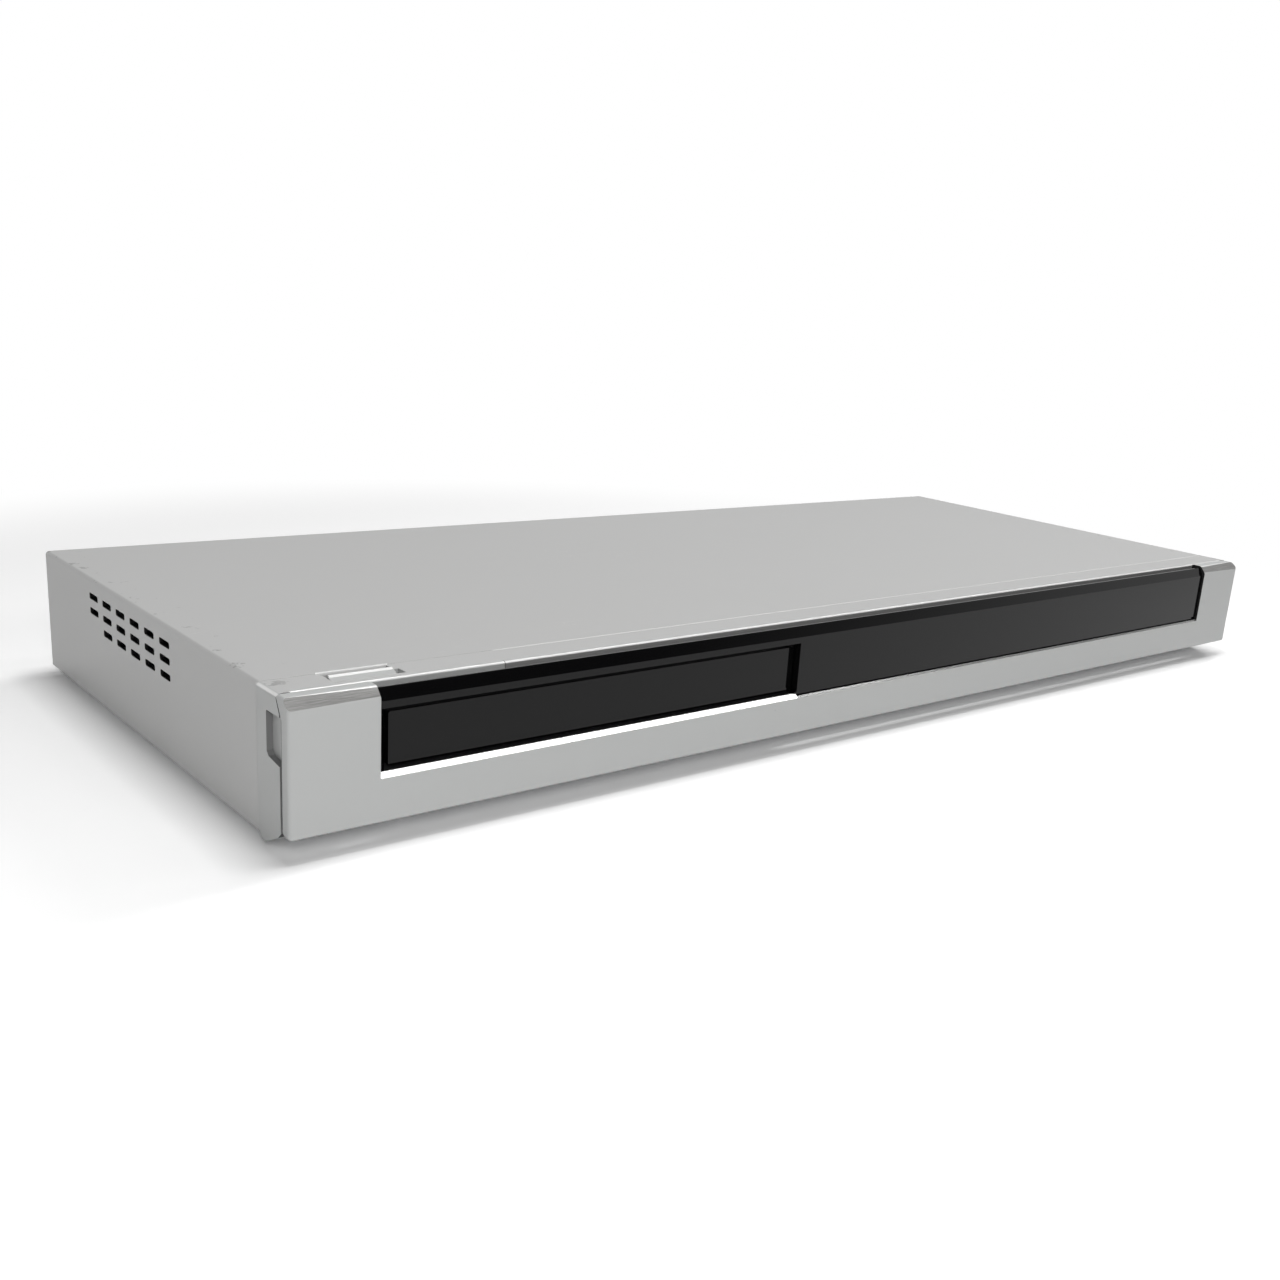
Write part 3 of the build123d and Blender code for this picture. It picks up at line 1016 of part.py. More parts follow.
def capacitor(x, depth, radius, height):
    z = BOARD_TOP
    return turned([(0, z), (radius - 0.6, z), (radius, z + 0.8), (radius - 0.5, z + 2.2), (radius, z + 3.4),
                   (radius, z + height - 0.8), (radius - 0.8, z + height), (0, z + height)], x, depth)


def filter_capacitors():
    return Compound(children=[capacitor(*values) for values in CAPACITORS])


def finned_block(x0, x1, d0, d1, z0, z1, base, fins):
    """A heat sink whose fins stand on its base plate and run front to back."""
    block = box(x0, x1, d0, d1, z0, z0 + base)
    pitch = (x1 - x0 - 1.2) / (fins - 1)
    for number in range(fins):
        x = x0 + pitch * number
        block += box(x, x + 1.2, d0, d1, z0 + base, z1)
    return block


def power_heat_sink():
    top = BOARD_TOP + 22.4
    wall = box(SUPPLY_X + 6, SUPPLY_X + 62, 112, 115, BOARD_TOP, top)
    for number in range(8):
        x = SUPPLY_X + 7 + 7.4 * number
        wall += box(x, x + 1.6, 115, 125, BOARD_TOP, top)
    return wall


def mains_inlet():
    """A two-pin inlet whose recess is two round lobes side by side."""
    back = BODY_DEPTH + 1.0
    body = rounded_plate(INLET_X - 10, INLET_X + 10, INLET_Z - 6.5, INLET_Z + 6.5,
                         PANEL_BACK - 16.2, PANEL_BACK, 2.0)
    flange = rounded_plate(INLET_X - 12.5, INLET_X + 12.5, INLET_Z - 8.5, INLET_Z + 8.5,
                           PANEL_BACK, back, 2.0)
    flange &= box(INLET_X - 20, INLET_X + 20, PANEL_BACK, back, 0, BODY_HEIGHT - REAR_FLANGE - 0.3)
    inlet = body + flange
    recess = box(INLET_X - 4.3, INLET_X + 4.3, back - 12, back + 1, INLET_Z - 3.2, INLET_Z + 3.2)
    for side in (-1, 1):
        recess += long_rod(INLET_X + side * 4.3, INLET_Z, back - 12, back + 1, 3.9)
    inlet -= recess
    for side in (-1, 1):
        inlet += long_rod(INLET_X + side * 4.3, INLET_Z, back - 13, back - 1.5, 1.2)
    return inlet


# Main board with the rear sockets

def main_board():
    x0, x1, d0, d1 = MAIN_BOARD
    return box(x0, x1, d0, d1, BOARD_HEIGHT, BOARD_TOP)


def processor_heat_sink():
    return finned_block(MAIN_X + 82, MAIN_X + 126, MAIN_BOARD[2] + 5, MAIN_BOARD[3] - 18.4,
                        BOARD_TOP, BOARD_TOP + 13.4, 3.0, 10)


SOCKET_BODY = 13.0
SOCKET_MOUTH = 11.0


def aerial_socket(x, z):
    """A sleeve behind a narrower neck, which passes through the rear panel."""
    end = BODY_DEPTH + AERIAL_REACH
    nut = long_rod(x, z, PANEL_FRONT - 1.0, PANEL_FRONT, 5.0)
    neck = long_rod(x, z, PANEL_FRONT - 0.2, BODY_DEPTH + AERIAL_NECK, AERIAL_R - 0.5)
    sleeve = neck + long_rod(x, z, BODY_DEPTH + AERIAL_NECK, end, AERIAL_R)
    bore = long_rod(x, z, end - 6.5, end + 1, 3.6)
    seat = long_rod(x, z, end - 6.5, end - 0.8, 2.4)
    return nut + sleeve - bore + seat


def tuner_module():
    can = rounded_plate(MAIN_X + 1, MAIN_X + 37, BOARD_TOP, BOARD_TOP + 25.8,
                        PANEL_FRONT - 37.4, PANEL_FRONT - 1.0, 1.0)
    for x in AERIAL_XS:
        for z in AERIAL_ZS:
            can += aerial_socket(x, z)
    return can


def hdmi_socket():
    low = BOARD_TOP + 1.2
    shell = rounded_plate(HDMI_X - 7.5, HDMI_X + 7.5, low, low + 5.8,
                          BODY_DEPTH - SOCKET_BODY, BODY_DEPTH + 0.3, 0.8)
    mouth = plate([(HDMI_X - 5.2, low + 0.7), (HDMI_X + 5.2, low + 0.7), (HDMI_X + 7.0, low + 2.2),
                   (HDMI_X + 7.0, low + 5.2), (HDMI_X - 7.0, low + 5.2), (HDMI_X - 7.0, low + 2.2)],
                  BODY_DEPTH - SOCKET_MOUTH, BODY_DEPTH + 1)
    inside = BODY_DEPTH - SOCKET_MOUTH - 1
    tongue = box(HDMI_X - 5.5, HDMI_X + 5.5, inside, BODY_DEPTH - 0.5, low + 3.2, low + 4.2)
    legs = box(HDMI_X - 7, HDMI_X + 7, inside, inside + 8, BOARD_TOP, low + 0.2)
    return shell - mouth + tongue + legs


def lan_socket():
    low = BOARD_TOP + 0.2
    inside = BODY_DEPTH - SOCKET_MOUTH
    shell = box(LAN_X - 8, LAN_X + 8, inside - 6, BODY_DEPTH + 0.5, low - 0.2, low + 13.6)
    mouth = box(LAN_X - 5.9, LAN_X + 5.9, inside, BODY_DEPTH + 2, low + 2.6, low + 10.2)
    key = box(LAN_X - 3.0, LAN_X + 3.0, inside, BODY_DEPTH + 2, low + 1.0, low + 2.6)
    return shell - mouth - key


def optical_socket():
    body = box(OPTICAL_X - 5, OPTICAL_X + 5, BODY_DEPTH - SOCKET_BODY - 1, BODY_DEPTH + 0.3,
               BOARD_TOP, BOARD_TOP + 10)
    middle = BOARD_TOP + 5
    recess = rounded_plate(OPTICAL_X - 3.6, OPTICAL_X + 3.6, middle - 3.6, middle + 3.6, BODY_DEPTH - 1.2,
                           BODY_DEPTH + 2, 1.0)
    return body - recess


def av_socket(x):
    body = box(x - 5.8, x + 5.8, BODY_DEPTH - SOCKET_BODY - 2, PANEL_FRONT - 0.3, BOARD_TOP, AV_Z + 6)
    body += long_rod(x, AV_Z, PANEL_FRONT - 0.4, BODY_DEPTH + AV_NECK, AV_R - 0.4)
    body += long_rod(x, AV_Z, BODY_DEPTH + AV_NECK, BODY_DEPTH + AV_REACH, AV_R)
    return body - long_rod(x, AV_Z, BODY_DEPTH - 1, BODY_DEPTH + AV_REACH + 1, AV_BORE_R)


def av_sockets():
    return Compound(children=[av_socket(x) for x in AV_XS])


def fan_housing():
    half = FAN_SIZE / 2
    back = PANEL_FRONT - 0.2
    front = back - FAN_THICK
    body = rounded_plate(FAN_X - half, FAN_X + half, FAN_HEIGHT - half, FAN_HEIGHT + half, front, back, 2.5)
    body -= long_rod(FAN_X, FAN_HEIGHT, front - 1, back + 1, half - 1.4)
    hub = long_rod(FAN_X, FAN_HEIGHT, back - 1.6, back, 6.5)
    for number in range(3):
        spoke = box(FAN_X - 1, FAN_X + 1, back - 1.6, back, FAN_HEIGHT + 5, FAN_HEIGHT + half - 1)
        turn = Axis((FAN_X, 0, FAN_HEIGHT), (0, 1, 0))
        hub += spoke.rotate(turn, 120 * number + 60)
    pin = long_rod(FAN_X, FAN_HEIGHT, back - 7.5, back - 1.5, 1.0)
    return joined(body, hub, pin)


def fan_rotor():
    back = PANEL_FRONT - 0.2 - 2.1
    front = PANEL_FRONT - 0.2 - FAN_THICK + 0.8
    hub = long_rod(FAN_X, FAN_HEIGHT, front, back, 6.5)
    blade_out = FAN_SIZE / 2 - 2.2
    blade = box(FAN_X + 5.5, FAN_X + blade_out, front + 0.6, back - 0.6, FAN_HEIGHT - 0.5, FAN_HEIGHT + 0.5)
    blade = blade.rotate(Axis((FAN_X, FRONT + (front + back) / 2, FAN_HEIGHT), (1, 0, 0)), 38)
    turn = Axis((FAN_X, 0, FAN_HEIGHT), (0, 1, 0))
    for number in range(FAN_BLADES):
        hub += blade.rotate(turn, 360 * number / FAN_BLADES)
    return hub - long_rod(FAN_X, FAN_HEIGHT, back - 5.6, back + 1, 1.0 + RUN_FIT)


def ribbon_cables():
    """Flat cables with their plugs, from the front board and the hard disk to the main board."""
    over = DISK_BOTTOM + DISK_HEIGHT + 1.4
    start = FRONT_BOARD + BOARD
    end = MAIN_BOARD[2] + 1
    front = bar([(start, 29.0), (start + 2.6, 29.0), (start + 2.6, over), (end, over), (end, BOARD_TOP),
                 (end + 4, BOARD_TOP), (end + 4, BOARD_TOP + 3), (end + 0.4, BOARD_TOP + 3),
                 (end + 0.4, over + 0.4),
                 (start + 2.2, over + 0.4), (start + 2.2, 32.0), (start, 32.0)],
                DISPLAY[1] - 20, DISPLAY[1] - 4)
    x = DISK_LEFT
    near = DISK_FRONT + 35.4
    far = MAIN_BOARD[2] + 2
    disk = slab([(x - 0.2, near), (x - 0.2, near + 16), (x - 3.6, near + 16), (x - 3.6, far), (x - 1.0, far),
                 (x - 1.0, far + 9), (x - 4.6, far + 9), (x - 4.6, far), (x - 4.0, far), (x - 4.0, near)],
                12.0, 17.0)
    return Compound(children=[front, disk])


NODES = {
    "base_chassis": base_chassis,
    "top_cover": top_cover,
    "rear_panel": rear_panel,
    "feet": feet,
    "cover_screws": cover_screws,
    "chassis_screws": chassis_screws,
    "front_panel": front_panel,
    "top_lip": top_lip,
    "front_door": front_door,
    "door_window": door_window,
    "door_hinge_pins": door_hinge_pins,
    "power_button": power_button,
    "front_board": front_board,
    "display_module": display_module,
    "key_switches": key_switches,
    "front_usb_socket": front_usb_socket,
    "memory_card_slot": memory_card_slot,
    "ic_card_slot": ic_card_slot,
    "disc_tray": disc_tray,
    "tray_front": tray_front,
    "drive_frame": drive_frame,
    "drive_gear": drive_gear,
    "pulley_gear": pulley_gear,
    "motor_pulley": motor_pulley,
    "loading_motor": loading_motor,
    "loading_belt": loading_belt,
    "cam_slider": cam_slider,
    "clamp_bridge": clamp_bridge,
    "clamper": clamper,
    "hard_disk": hard_disk,
    "disk_bracket": disk_bracket,
    "disk_dampers": disk_dampers,
    "power_board": power_board,
    "power_transformer": power_transformer,
    "filter_capacitors": filter_capacitors,
    "power_heat_sink": power_heat_sink,
    "mains_inlet": mains_inlet,
    "main_board": main_board,
    "processor_heat_sink": processor_heat_sink,
    "tuner_module": tuner_module,
    "hdmi_socket": hdmi_socket,
    "lan_socket": lan_socket,
    "optical_socket": optical_socket,
    "av_sockets": av_sockets,
    "fan_housing": fan_housing,
    "fan_rotor": fan_rotor,
    "ribbon_cables": ribbon_cables,
}

TRAVERSE_NODES = {
    "traverse_chassis": traverse_chassis,
    "spindle_motor": spindle_motor,
    "turntable": turntable,
    "pickup_head": pickup_head,
    "guide_rods": guide_rods,
    "lead_screw": lead_screw,
    "sled_motor": sled_motor,
}

for node_name, make in NODES.items():
    export_step(make(), f"parts/{node_name}.step")
for node_name, make in TRAVERSE_NODES.items():
    export_step(lowered(make()), f"parts/{node_name}.step")
for index, button_name in enumerate(BUTTON_NAMES):
    export_step(panel_button(index), f"parts/{button_name}_button.step")
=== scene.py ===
import json
from math import cos, pi, radians, sin

import bmesh
import bpy
from bpy.props import FloatProperty, FloatVectorProperty, IntProperty, PointerProperty
from mathutils import Matrix, Vector


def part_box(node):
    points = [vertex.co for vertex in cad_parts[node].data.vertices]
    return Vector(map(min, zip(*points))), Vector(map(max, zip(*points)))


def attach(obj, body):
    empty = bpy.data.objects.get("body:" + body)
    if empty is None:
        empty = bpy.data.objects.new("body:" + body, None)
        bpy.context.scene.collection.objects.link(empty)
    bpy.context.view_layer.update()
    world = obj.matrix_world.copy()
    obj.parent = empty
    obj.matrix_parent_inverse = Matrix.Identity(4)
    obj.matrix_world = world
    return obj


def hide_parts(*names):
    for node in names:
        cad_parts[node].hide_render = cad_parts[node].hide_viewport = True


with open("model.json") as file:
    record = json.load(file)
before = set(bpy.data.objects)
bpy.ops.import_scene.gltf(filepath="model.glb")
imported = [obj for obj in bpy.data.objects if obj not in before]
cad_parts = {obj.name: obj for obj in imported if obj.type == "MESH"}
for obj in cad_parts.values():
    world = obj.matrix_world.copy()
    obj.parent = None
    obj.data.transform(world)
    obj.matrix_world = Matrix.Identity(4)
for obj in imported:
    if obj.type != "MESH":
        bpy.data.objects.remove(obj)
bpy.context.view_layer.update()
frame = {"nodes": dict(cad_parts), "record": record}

bl_info = {
    "name": "Disc recorder looks",
    "version": (1, 0, 0),
    "blender": (4, 5, 0),
    "location": "View3D > Sidebar > Recorder",
    "description": "Dresses the disc recorder and sets up its studio stage",
    "category": "Object",
}

NODES = frame["nodes"]
BODY_OF = {node: body for body, nodes in frame["record"]["behaviour"]["bodies"].items() for node in nodes}
SLOT_OF = {part["node"]: part["material_slot"] for part in frame["record"]["subparts"]}
MM = 0.001
FINISH = "_finish"
COVER_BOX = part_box("top_cover")
COVER_LEFT = COVER_BOX[0][0] / MM
COVER_RIGHT = COVER_BOX[1][0] / MM
COVER_BACK = COVER_BOX[1][1] / MM
COVER_TOP = COVER_BOX[1][2] / MM
DOOR_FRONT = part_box("front_door")[0][1] / MM
DOOR_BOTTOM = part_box("front_door")[0][2] / MM
DOOR_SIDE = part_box("front_door")[1][0] / MM

# Places and sizes in mm
WINDOW_SIDES = (-191.5, 188.5)
OPENING_HEIGHTS = (17, 38)
CAP_SIDE = 213
LONG_EDGE = 4
SAME_PLACE = 0.002
PROUD = 0.04

# Angles
SHARP = radians(34)
ROUNDED = radians(28)
FLAT = radians(0.5)


# Settings that a user would change

def length_setting(name, description, size):
    return FloatProperty(name=name, description=description, default=size * MM, unit="LENGTH")


def colour_setting(name, description, colour):
    return FloatVectorProperty(name=name, description=description, default=colour, subtype="COLOR")


def power_setting(name, description, power):
    return FloatProperty(name=name, description=description, default=power, unit="POWER")


class RecorderSizes(bpy.types.PropertyGroup):
    """Sizes of the details that are added to the recorder."""
    edge_round: length_setting("Edge round", "Rounding of moulded edges", 0.35)
    crest_round: length_setting("Crest round", "Rounding of the door's outline", 0.5)
    fold_round: length_setting("Fold round", "Outer radius of the cover's folds", 0.8)
    sheet_round: length_setting("Sheet round", "Rounding of cut sheet metal edges", 0.12)
    glass_round: length_setting("Window round", "Rounding of the tray front and the ledge", 0.25)
    key_round: length_setting("Key round", "Rounding of the keys behind the door", 0.3)
    round_steps: IntProperty(name="Round steps", description="Steps of each rounded edge", default=3)
    paint_grain: length_setting("Paint grain", "Size of the grain in the silver paint", 0.22)
    plastic_grain: length_setting("Plastic grain", "Size of the grain in black plastic", 0.35)


class RecorderColours(bpy.types.PropertyGroup):
    """Colours of the recorder's surfaces, linear."""
    cover: colour_setting("Cover", "Silver paint of the metal cover", (0.535, 0.535, 0.53))
    front: colour_setting("Front", "Silver paint of the front moulding and door", (0.50, 0.508, 0.503))
    window: colour_setting("Window", "Smoked window and tray front", (0.002, 0.002, 0.0022))
    trim: colour_setting("Trim", "Bright strip along the deck", (0.40, 0.40, 0.395))


class RecorderStage(bpy.types.PropertyGroup):
    """Camera and light of the studio."""
    camera_place: FloatVectorProperty(name="Camera place", description="Where the camera stands",
                                      default=(-0.33995, -0.37377, 0.13781), subtype="TRANSLATION",
                                      unit="LENGTH")
    camera_turn: FloatVectorProperty(name="Camera turn", description="Yaw, pitch and roll of the camera",
                                     default=(0.7398, 0.2873, 0.0783), unit="ROTATION")
    focal_pixels: FloatProperty(name="Focal length", default=1351.7,
                                description="Focal length in pixels of a 1280 pixel image")
    centre_pixels: FloatVectorProperty(name="Image centre", description="Pixel that the lens axis meets",
                                       size=2, default=(712.2, 687.6))
    front_light: power_setting("Front light", "Power of the lamp in front, at the left", 1.85)
    fill_light: power_setting("Fill light", "Power of the lamp far in front", 3.6)
    top_light: power_setting("Top light", "Power of the lamp overhead", 8.7)
    side_light: power_setting("Side light", "Power of the lamp at the right", 14.0)
    strip_light: power_setting("Strip light", "Power of the strip that the ledge shows", 1.3)
    edge_light: power_setting("Edge light", "Power of the strip that rounded edges show", 2.5)
    ambient: FloatProperty(name="Ambient", description="Light from all round", default=0.06)
    ceiling: FloatProperty(name="Ceiling", description="How bright gloss sees the space above", default=0.06)
    floor_lift: FloatProperty(name="Floor lift", description="Light that the floor adds to its shadows",
                              default=0.07)


def sizes():
    return bpy.context.scene.recorder_sizes


def colours():
    return bpy.context.scene.recorder_colours


# Shader nodes

def feed(tree, socket, value):
    """Gives an input its value, or the link that drives it."""
    if isinstance(value, bpy.types.NodeSocket):
        tree.links.new(value, socket)
    else:
        socket.default_value = value


def put(tree, kind, inputs=None, **settings):
    """A shader node with its settings, and its inputs as values or links."""
    made = tree.nodes.new("ShaderNode" + kind)
    for key, value in settings.items():
        setattr(made, key, value)
    for key, value in (inputs or {}).items():
        feed(tree, made.inputs[key], value)
    return made


def calc(tree, operation, first, second=0.0, third=0.0):
    return put(tree, "Math", {0: first, 1: second, 2: third}, operation=operation).outputs[0]


def span(tree, value, low, high, out_low=0.0, out_high=1.0):
    """A value's place between two limits, smoothed and clamped."""
    made = put(tree, "MapRange", {"Value": value, "From Min": low, "From Max": high,
                                  "To Min": out_low, "To Max": out_high},
               interpolation_type="SMOOTHSTEP")
    return made.outputs["Result"]


def with_alpha(colour):
    """A colour as a colour input takes it, whether it is a value or a link."""
    return colour if isinstance(colour, bpy.types.NodeSocket) else (*colour, 1.0)


def blend_colour(tree, factor, first, second):
    made = put(tree, "Mix", {0: factor, 6: with_alpha(first), 7: with_alpha(second)}, data_type="RGBA")
    return made.outputs[2]


def shaded(tree, colour, level):
    """A colour made lighter or darker by a level that varies over the surface."""
    return put(tree, "VectorMath", {0: colour, "Scale": level}, operation="SCALE").outputs[0]


def noise_at(tree, place, scale, detail, **more):
    """Noise over a place, as a value around a half."""
    return put(tree, "TexNoise", {"Vector": place, "Scale": scale, "Detail": detail} | more).outputs[0]


def empty_tree(owner):
    """The node tree of a material or world, with nothing in it."""
    owner.use_nodes = True
    owner.node_tree.nodes.clear()
    return owner.node_tree


def group_of(name, inputs, outputs):
    """An empty node group with its value inputs and outputs, and a vector to read."""
    tree = bpy.data.node_groups.new(name, "ShaderNodeTree")
    tree.interface.new_socket("Vector", in_out="INPUT", socket_type="NodeSocketVector")
    for label, value in inputs:
        socket = tree.interface.new_socket(label, in_out="INPUT", socket_type="NodeSocketFloat")
        socket.default_value = value
    for label in outputs:
        tree.interface.new_socket(label, in_out="OUTPUT", socket_type="NodeSocketFloat")
    return tree, tree.nodes.new("NodeGroupInput").outputs, tree.nodes.new("NodeGroupOutput").inputs


def make_grain_group():
    """Fine grain of a sprayed or moulded surface."""
    tree, given, made = group_of("fine_grain", [("Size", 0.0003)], ["Height"])
    scale = calc(tree, "DIVIDE", 1.0, given["Size"])
    tree.links.new(noise_at(tree, given["Vector"], scale, 2.0, Roughness=0.6), made["Height"])
    return tree


def make_tone_group():
    """Broad, soft changes of tone, as a level around one."""
    tree, given, made = group_of("soft_tone", [("Size", 0.05), ("Amount", 0.03)], ["Level"])
    scale = calc(tree, "DIVIDE", 1.0, given["Size"])
    noise = noise_at(tree, given["Vector"], scale, 3.0, Roughness=0.55)
    swing = calc(tree, "SUBTRACT", noise, 0.5)
    tree.links.new(calc(tree, "MULTIPLY_ADD", swing, given["Amount"], 1.0), made["Level"])
    return tree


def make_speck_group():
    """Rare specks of dust, as a mask."""
    values = [("Pitch", 0.006), ("Size", 0.0002), ("Share", 0.3)]
    tree, given, made = group_of("dust_specks", values, ["Mask"])
    scale = calc(tree, "DIVIDE", 1.0, given["Pitch"])
    cells = put(tree, "TexVoronoi", {"Vector": given["Vector"], "Scale": scale, "Randomness": 1.0})
    reach = calc(tree, "DIVIDE", given["Size"], given["Pitch"])
    near = calc(tree, "LESS_THAN", cells.outputs["Distance"], reach)
    pick = put(tree, "SeparateColor", {"Color": cells.outputs["Color"]})
    chosen = calc(tree, "LESS_THAN", pick.outputs[0], given["Share"])
    tree.links.new(calc(tree, "MULTIPLY", near, chosen), made["Mask"])
    return tree


def make_scratch_group():
    """Fine hairline scratches in two directions, as a mask."""
    tree, given, made = group_of("hairlines", [("Pitch", 0.02), ("Share", 0.2)], ["Mask"])
    masks = []
    scale = calc(tree, "DIVIDE", 1.0, given["Pitch"])
    for turn, stretch in ((0.35, 14.0), (-0.9, 18.0)):
        turned = put(tree, "Mapping", {"Vector": given["Vector"], "Rotation": (0.0, 0.0, turn),
                                       "Scale": (1.0, stretch, stretch)})
        noise = noise_at(tree, turned.outputs[0], scale, 1.0, Distortion=0.3)
        ridge = calc(tree, "ABSOLUTE", calc(tree, "SUBTRACT", noise, 0.5))
        line = calc(tree, "LESS_THAN", ridge, 0.0012)
        patch = noise_at(tree, given["Vector"], scale, 0.0)
        chosen = calc(tree, "LESS_THAN", patch, given["Share"])
        masks.append(calc(tree, "MULTIPLY", line, chosen))
    tree.links.new(calc(tree, "MAXIMUM", masks[0], masks[1]), made["Mask"])
    return tree


def make_brushed_group():
    """Fine lines that run along X, as a height."""
    tree, given, made = group_of("brushed_lines", [("Width", 0.0002)], ["Height"])
    scale = calc(tree, "DIVIDE", 1.0, given["Width"])
    drawn = put(tree, "Mapping", {"Vector": given["Vector"], "Scale": (0.02, 1.0, 1.0)})
    tree.links.new(noise_at(tree, drawn.outputs[0], scale, 2.0), made["Height"])
    return tree


GROUPS = {}
EDGE_SAMPLES = 6


def make_groups():
    GROUPS["grain"] = make_grain_group()
    GROUPS["tone"] = make_tone_group()
    GROUPS["specks"] = make_speck_group()
    GROUPS["hairlines"] = make_scratch_group()
    GROUPS["brushed"] = make_brushed_group()


def effect(tree, name, place, **values):
    """A shared group in a material, reading object coordinates."""
    made = put(tree, "Group", node_tree=GROUPS[name])
    tree.links.new(place, made.inputs["Vector"])
    for key, value in values.items():
        made.inputs[key.capitalize()].default_value = value
    return made.outputs[0]


class Surface:
    """A material under construction: its shader, its tree and where patterns are read."""

    def __init__(self, name, colour, roughness, metallic=0.0, ior=None):
        self.material = bpy.data.materials.new(name + FINISH)
        self.tree = empty_tree(self.material)
        self.shader = put(self.tree, "BsdfPrincipled")
        output = put(self.tree, "OutputMaterial")
        self.tree.links.new(self.shader.outputs[0], output.inputs["Surface"])
        self.place = put(self.tree, "TexCoord").outputs["Object"]
        self.colour = tuple(colour)
        self.roughness = roughness
        self.bumps = []
        self.edge = None
        self.shader.inputs["Base Color"].default_value = with_alpha(self.colour)
        self.shader.inputs["Roughness"].default_value = roughness
        self.shader.inputs["Metallic"].default_value = metallic
        if ior:
            self.shader.inputs["IOR"].default_value = ior

    def tone(self, size, amount):
        level = effect(self.tree, "tone", self.place, size=size, amount=amount)
        self.colour = shaded(self.tree, self.colour, level)
        return self

    def mark(self, mask, colour, strength=1.0):
        """Lays another colour over the surface where a mask says."""
        factor = calc(self.tree, "MULTIPLY", mask, strength)
        self.colour = blend_colour(self.tree, factor, self.colour, colour)
        return self

    def specks(self, pitch, size, share, colour, strength):
        mask = effect(self.tree, "specks", self.place, pitch=pitch, size=size, share=share)
        return self.mark(mask, colour, strength)

    def hairlines(self, pitch, share, colour, strength):
        mask = effect(self.tree, "hairlines", self.place, pitch=pitch, share=share)
        return self.mark(mask, colour, strength)

    def vary_roughness(self, size, low, high):
        level = effect(self.tree, "tone", self.place, size=size, amount=1.0)
        self.roughness = span(self.tree, level, 0.75, 1.25, low, high)
        return self

    def edges(self, radius):
        """Softens the edges that the mesh leaves sharp."""
        self.edge = put(self.tree, "Bevel", {"Radius": radius}, samples=EDGE_SAMPLES).outputs[0]
        return self

    def paint_crevice_shade(self, reach, colour, strength):
        """Darkens narrow gaps with painted shade, where little light falls."""
        made = put(self.tree, "AmbientOcclusion", {"Distance": reach}, samples=EDGE_SAMPLES)
        closed = span(self.tree, made.outputs["AO"], 0.2, 0.75, 1.0, 0.0)
        return self.mark(closed, colour, strength)

    def grain(self, size, height):
        self.bumps.append((effect(self.tree, "grain", self.place, size=size), height))
        return self

    def brushed(self, width, height):
        self.bumps.append((effect(self.tree, "brushed", self.place, width=width), height))
        return self

    def done(self):
        """Joins what was added to the shader, and gives the material."""
        normal = self.edge
        for height, distance in self.bumps:
            bump = put(self.tree, "Bump", {"Height": height, "Strength": 1.0, "Distance": distance})
            if normal is not None:
                self.tree.links.new(normal, bump.inputs["Normal"])
            normal = bump.outputs[0]
        if normal is not None:
            self.tree.links.new(normal, self.shader.inputs["Normal"])
        for label, value in (("Base Color", self.colour), ("Roughness", self.roughness)):
            if isinstance(value, bpy.types.NodeSocket):
                self.tree.links.new(value, self.shader.inputs[label])
        return self.material


# Materials, one for each slot of the record, and the finishes of single faces and added pieces

DUST = (0.75, 0.75, 0.74)
DARK = (0.10, 0.10, 0.10)
# Colour of the painted shade in narrow gaps
CREVICE_SHADE = (0.03, 0.03, 0.03)


def silver_paint():
    """Paint of the cover and deck, scuffed along the folds, with painted shade in narrow gaps."""
    made = Surface("silver_paint", colours().cover, 0.42, metallic=0.25)
    made.tone(0.09, 0.035).specks(0.011, 0.00022, 0.35, DARK, 0.35)
    # Hairline scratches, then painted shade in narrow gaps
    made.hairlines(0.05, 0.36, DUST, 0.25).paint_crevice_shade(0.0012, CREVICE_SHADE, 0.8)
    where = put(made.tree, "SeparateXYZ", {0: made.place}).outputs
    near_fold = span(made.tree, calc(made.tree, "ABSOLUTE", where["X"]), 0.2, 0.2149)
    on_top = calc(made.tree, "GREATER_THAN", where["Z"], 0.0406)
    worn = calc(made.tree, "MULTIPLY", near_fold, on_top)
    spots = noise_at(made.tree, made.place, 190.0, 4.0, Roughness=0.7)
    patch = span(made.tree, spots, 0.62, 0.66)
    made.mark(calc(made.tree, "MULTIPLY", worn, patch), DARK, 0.45)
    return made.edges(sizes().edge_round).grain(sizes().paint_grain, 0.000006).done()


def silver_plastic():
    made = Surface("silver_plastic", colours().front, 0.38, metallic=0.15)
    # Painted shade in narrow gaps
    made.tone(0.06, 0.03).specks(0.012, 0.0002, 0.3, DARK, 0.3).paint_crevice_shade(0.0009, CREVICE_SHADE, 0.85)
    return made.edges(sizes().edge_round).grain(sizes().paint_grain, 0.000005).done()


def brushed_facet():
    """Bevel of the door, with lines along its length."""
    made = Surface("brushed_facet", (0.26, 0.257, 0.252), 0.38, metallic=0.2)
    made.tone(0.02, 0.05)
    lines = effect(made.tree, "brushed", made.place, width=0.00012)
    made.mark(span(made.tree, lines, 0.54, 0.62), (0.42, 0.42, 0.41), 0.5)
    made.mark(span(made.tree, lines, 0.46, 0.38), (0.14, 0.14, 0.14), 0.4)
    return made.brushed(0.0002, 0.00001).done()


def bright_ledge():
    """Polished slope under the window."""
    made = Surface("bright_ledge", (0.85, 0.85, 0.84), 0.16, metallic=0.8)
    return made.tone(0.03, 0.03).edges(sizes().glass_round).done()


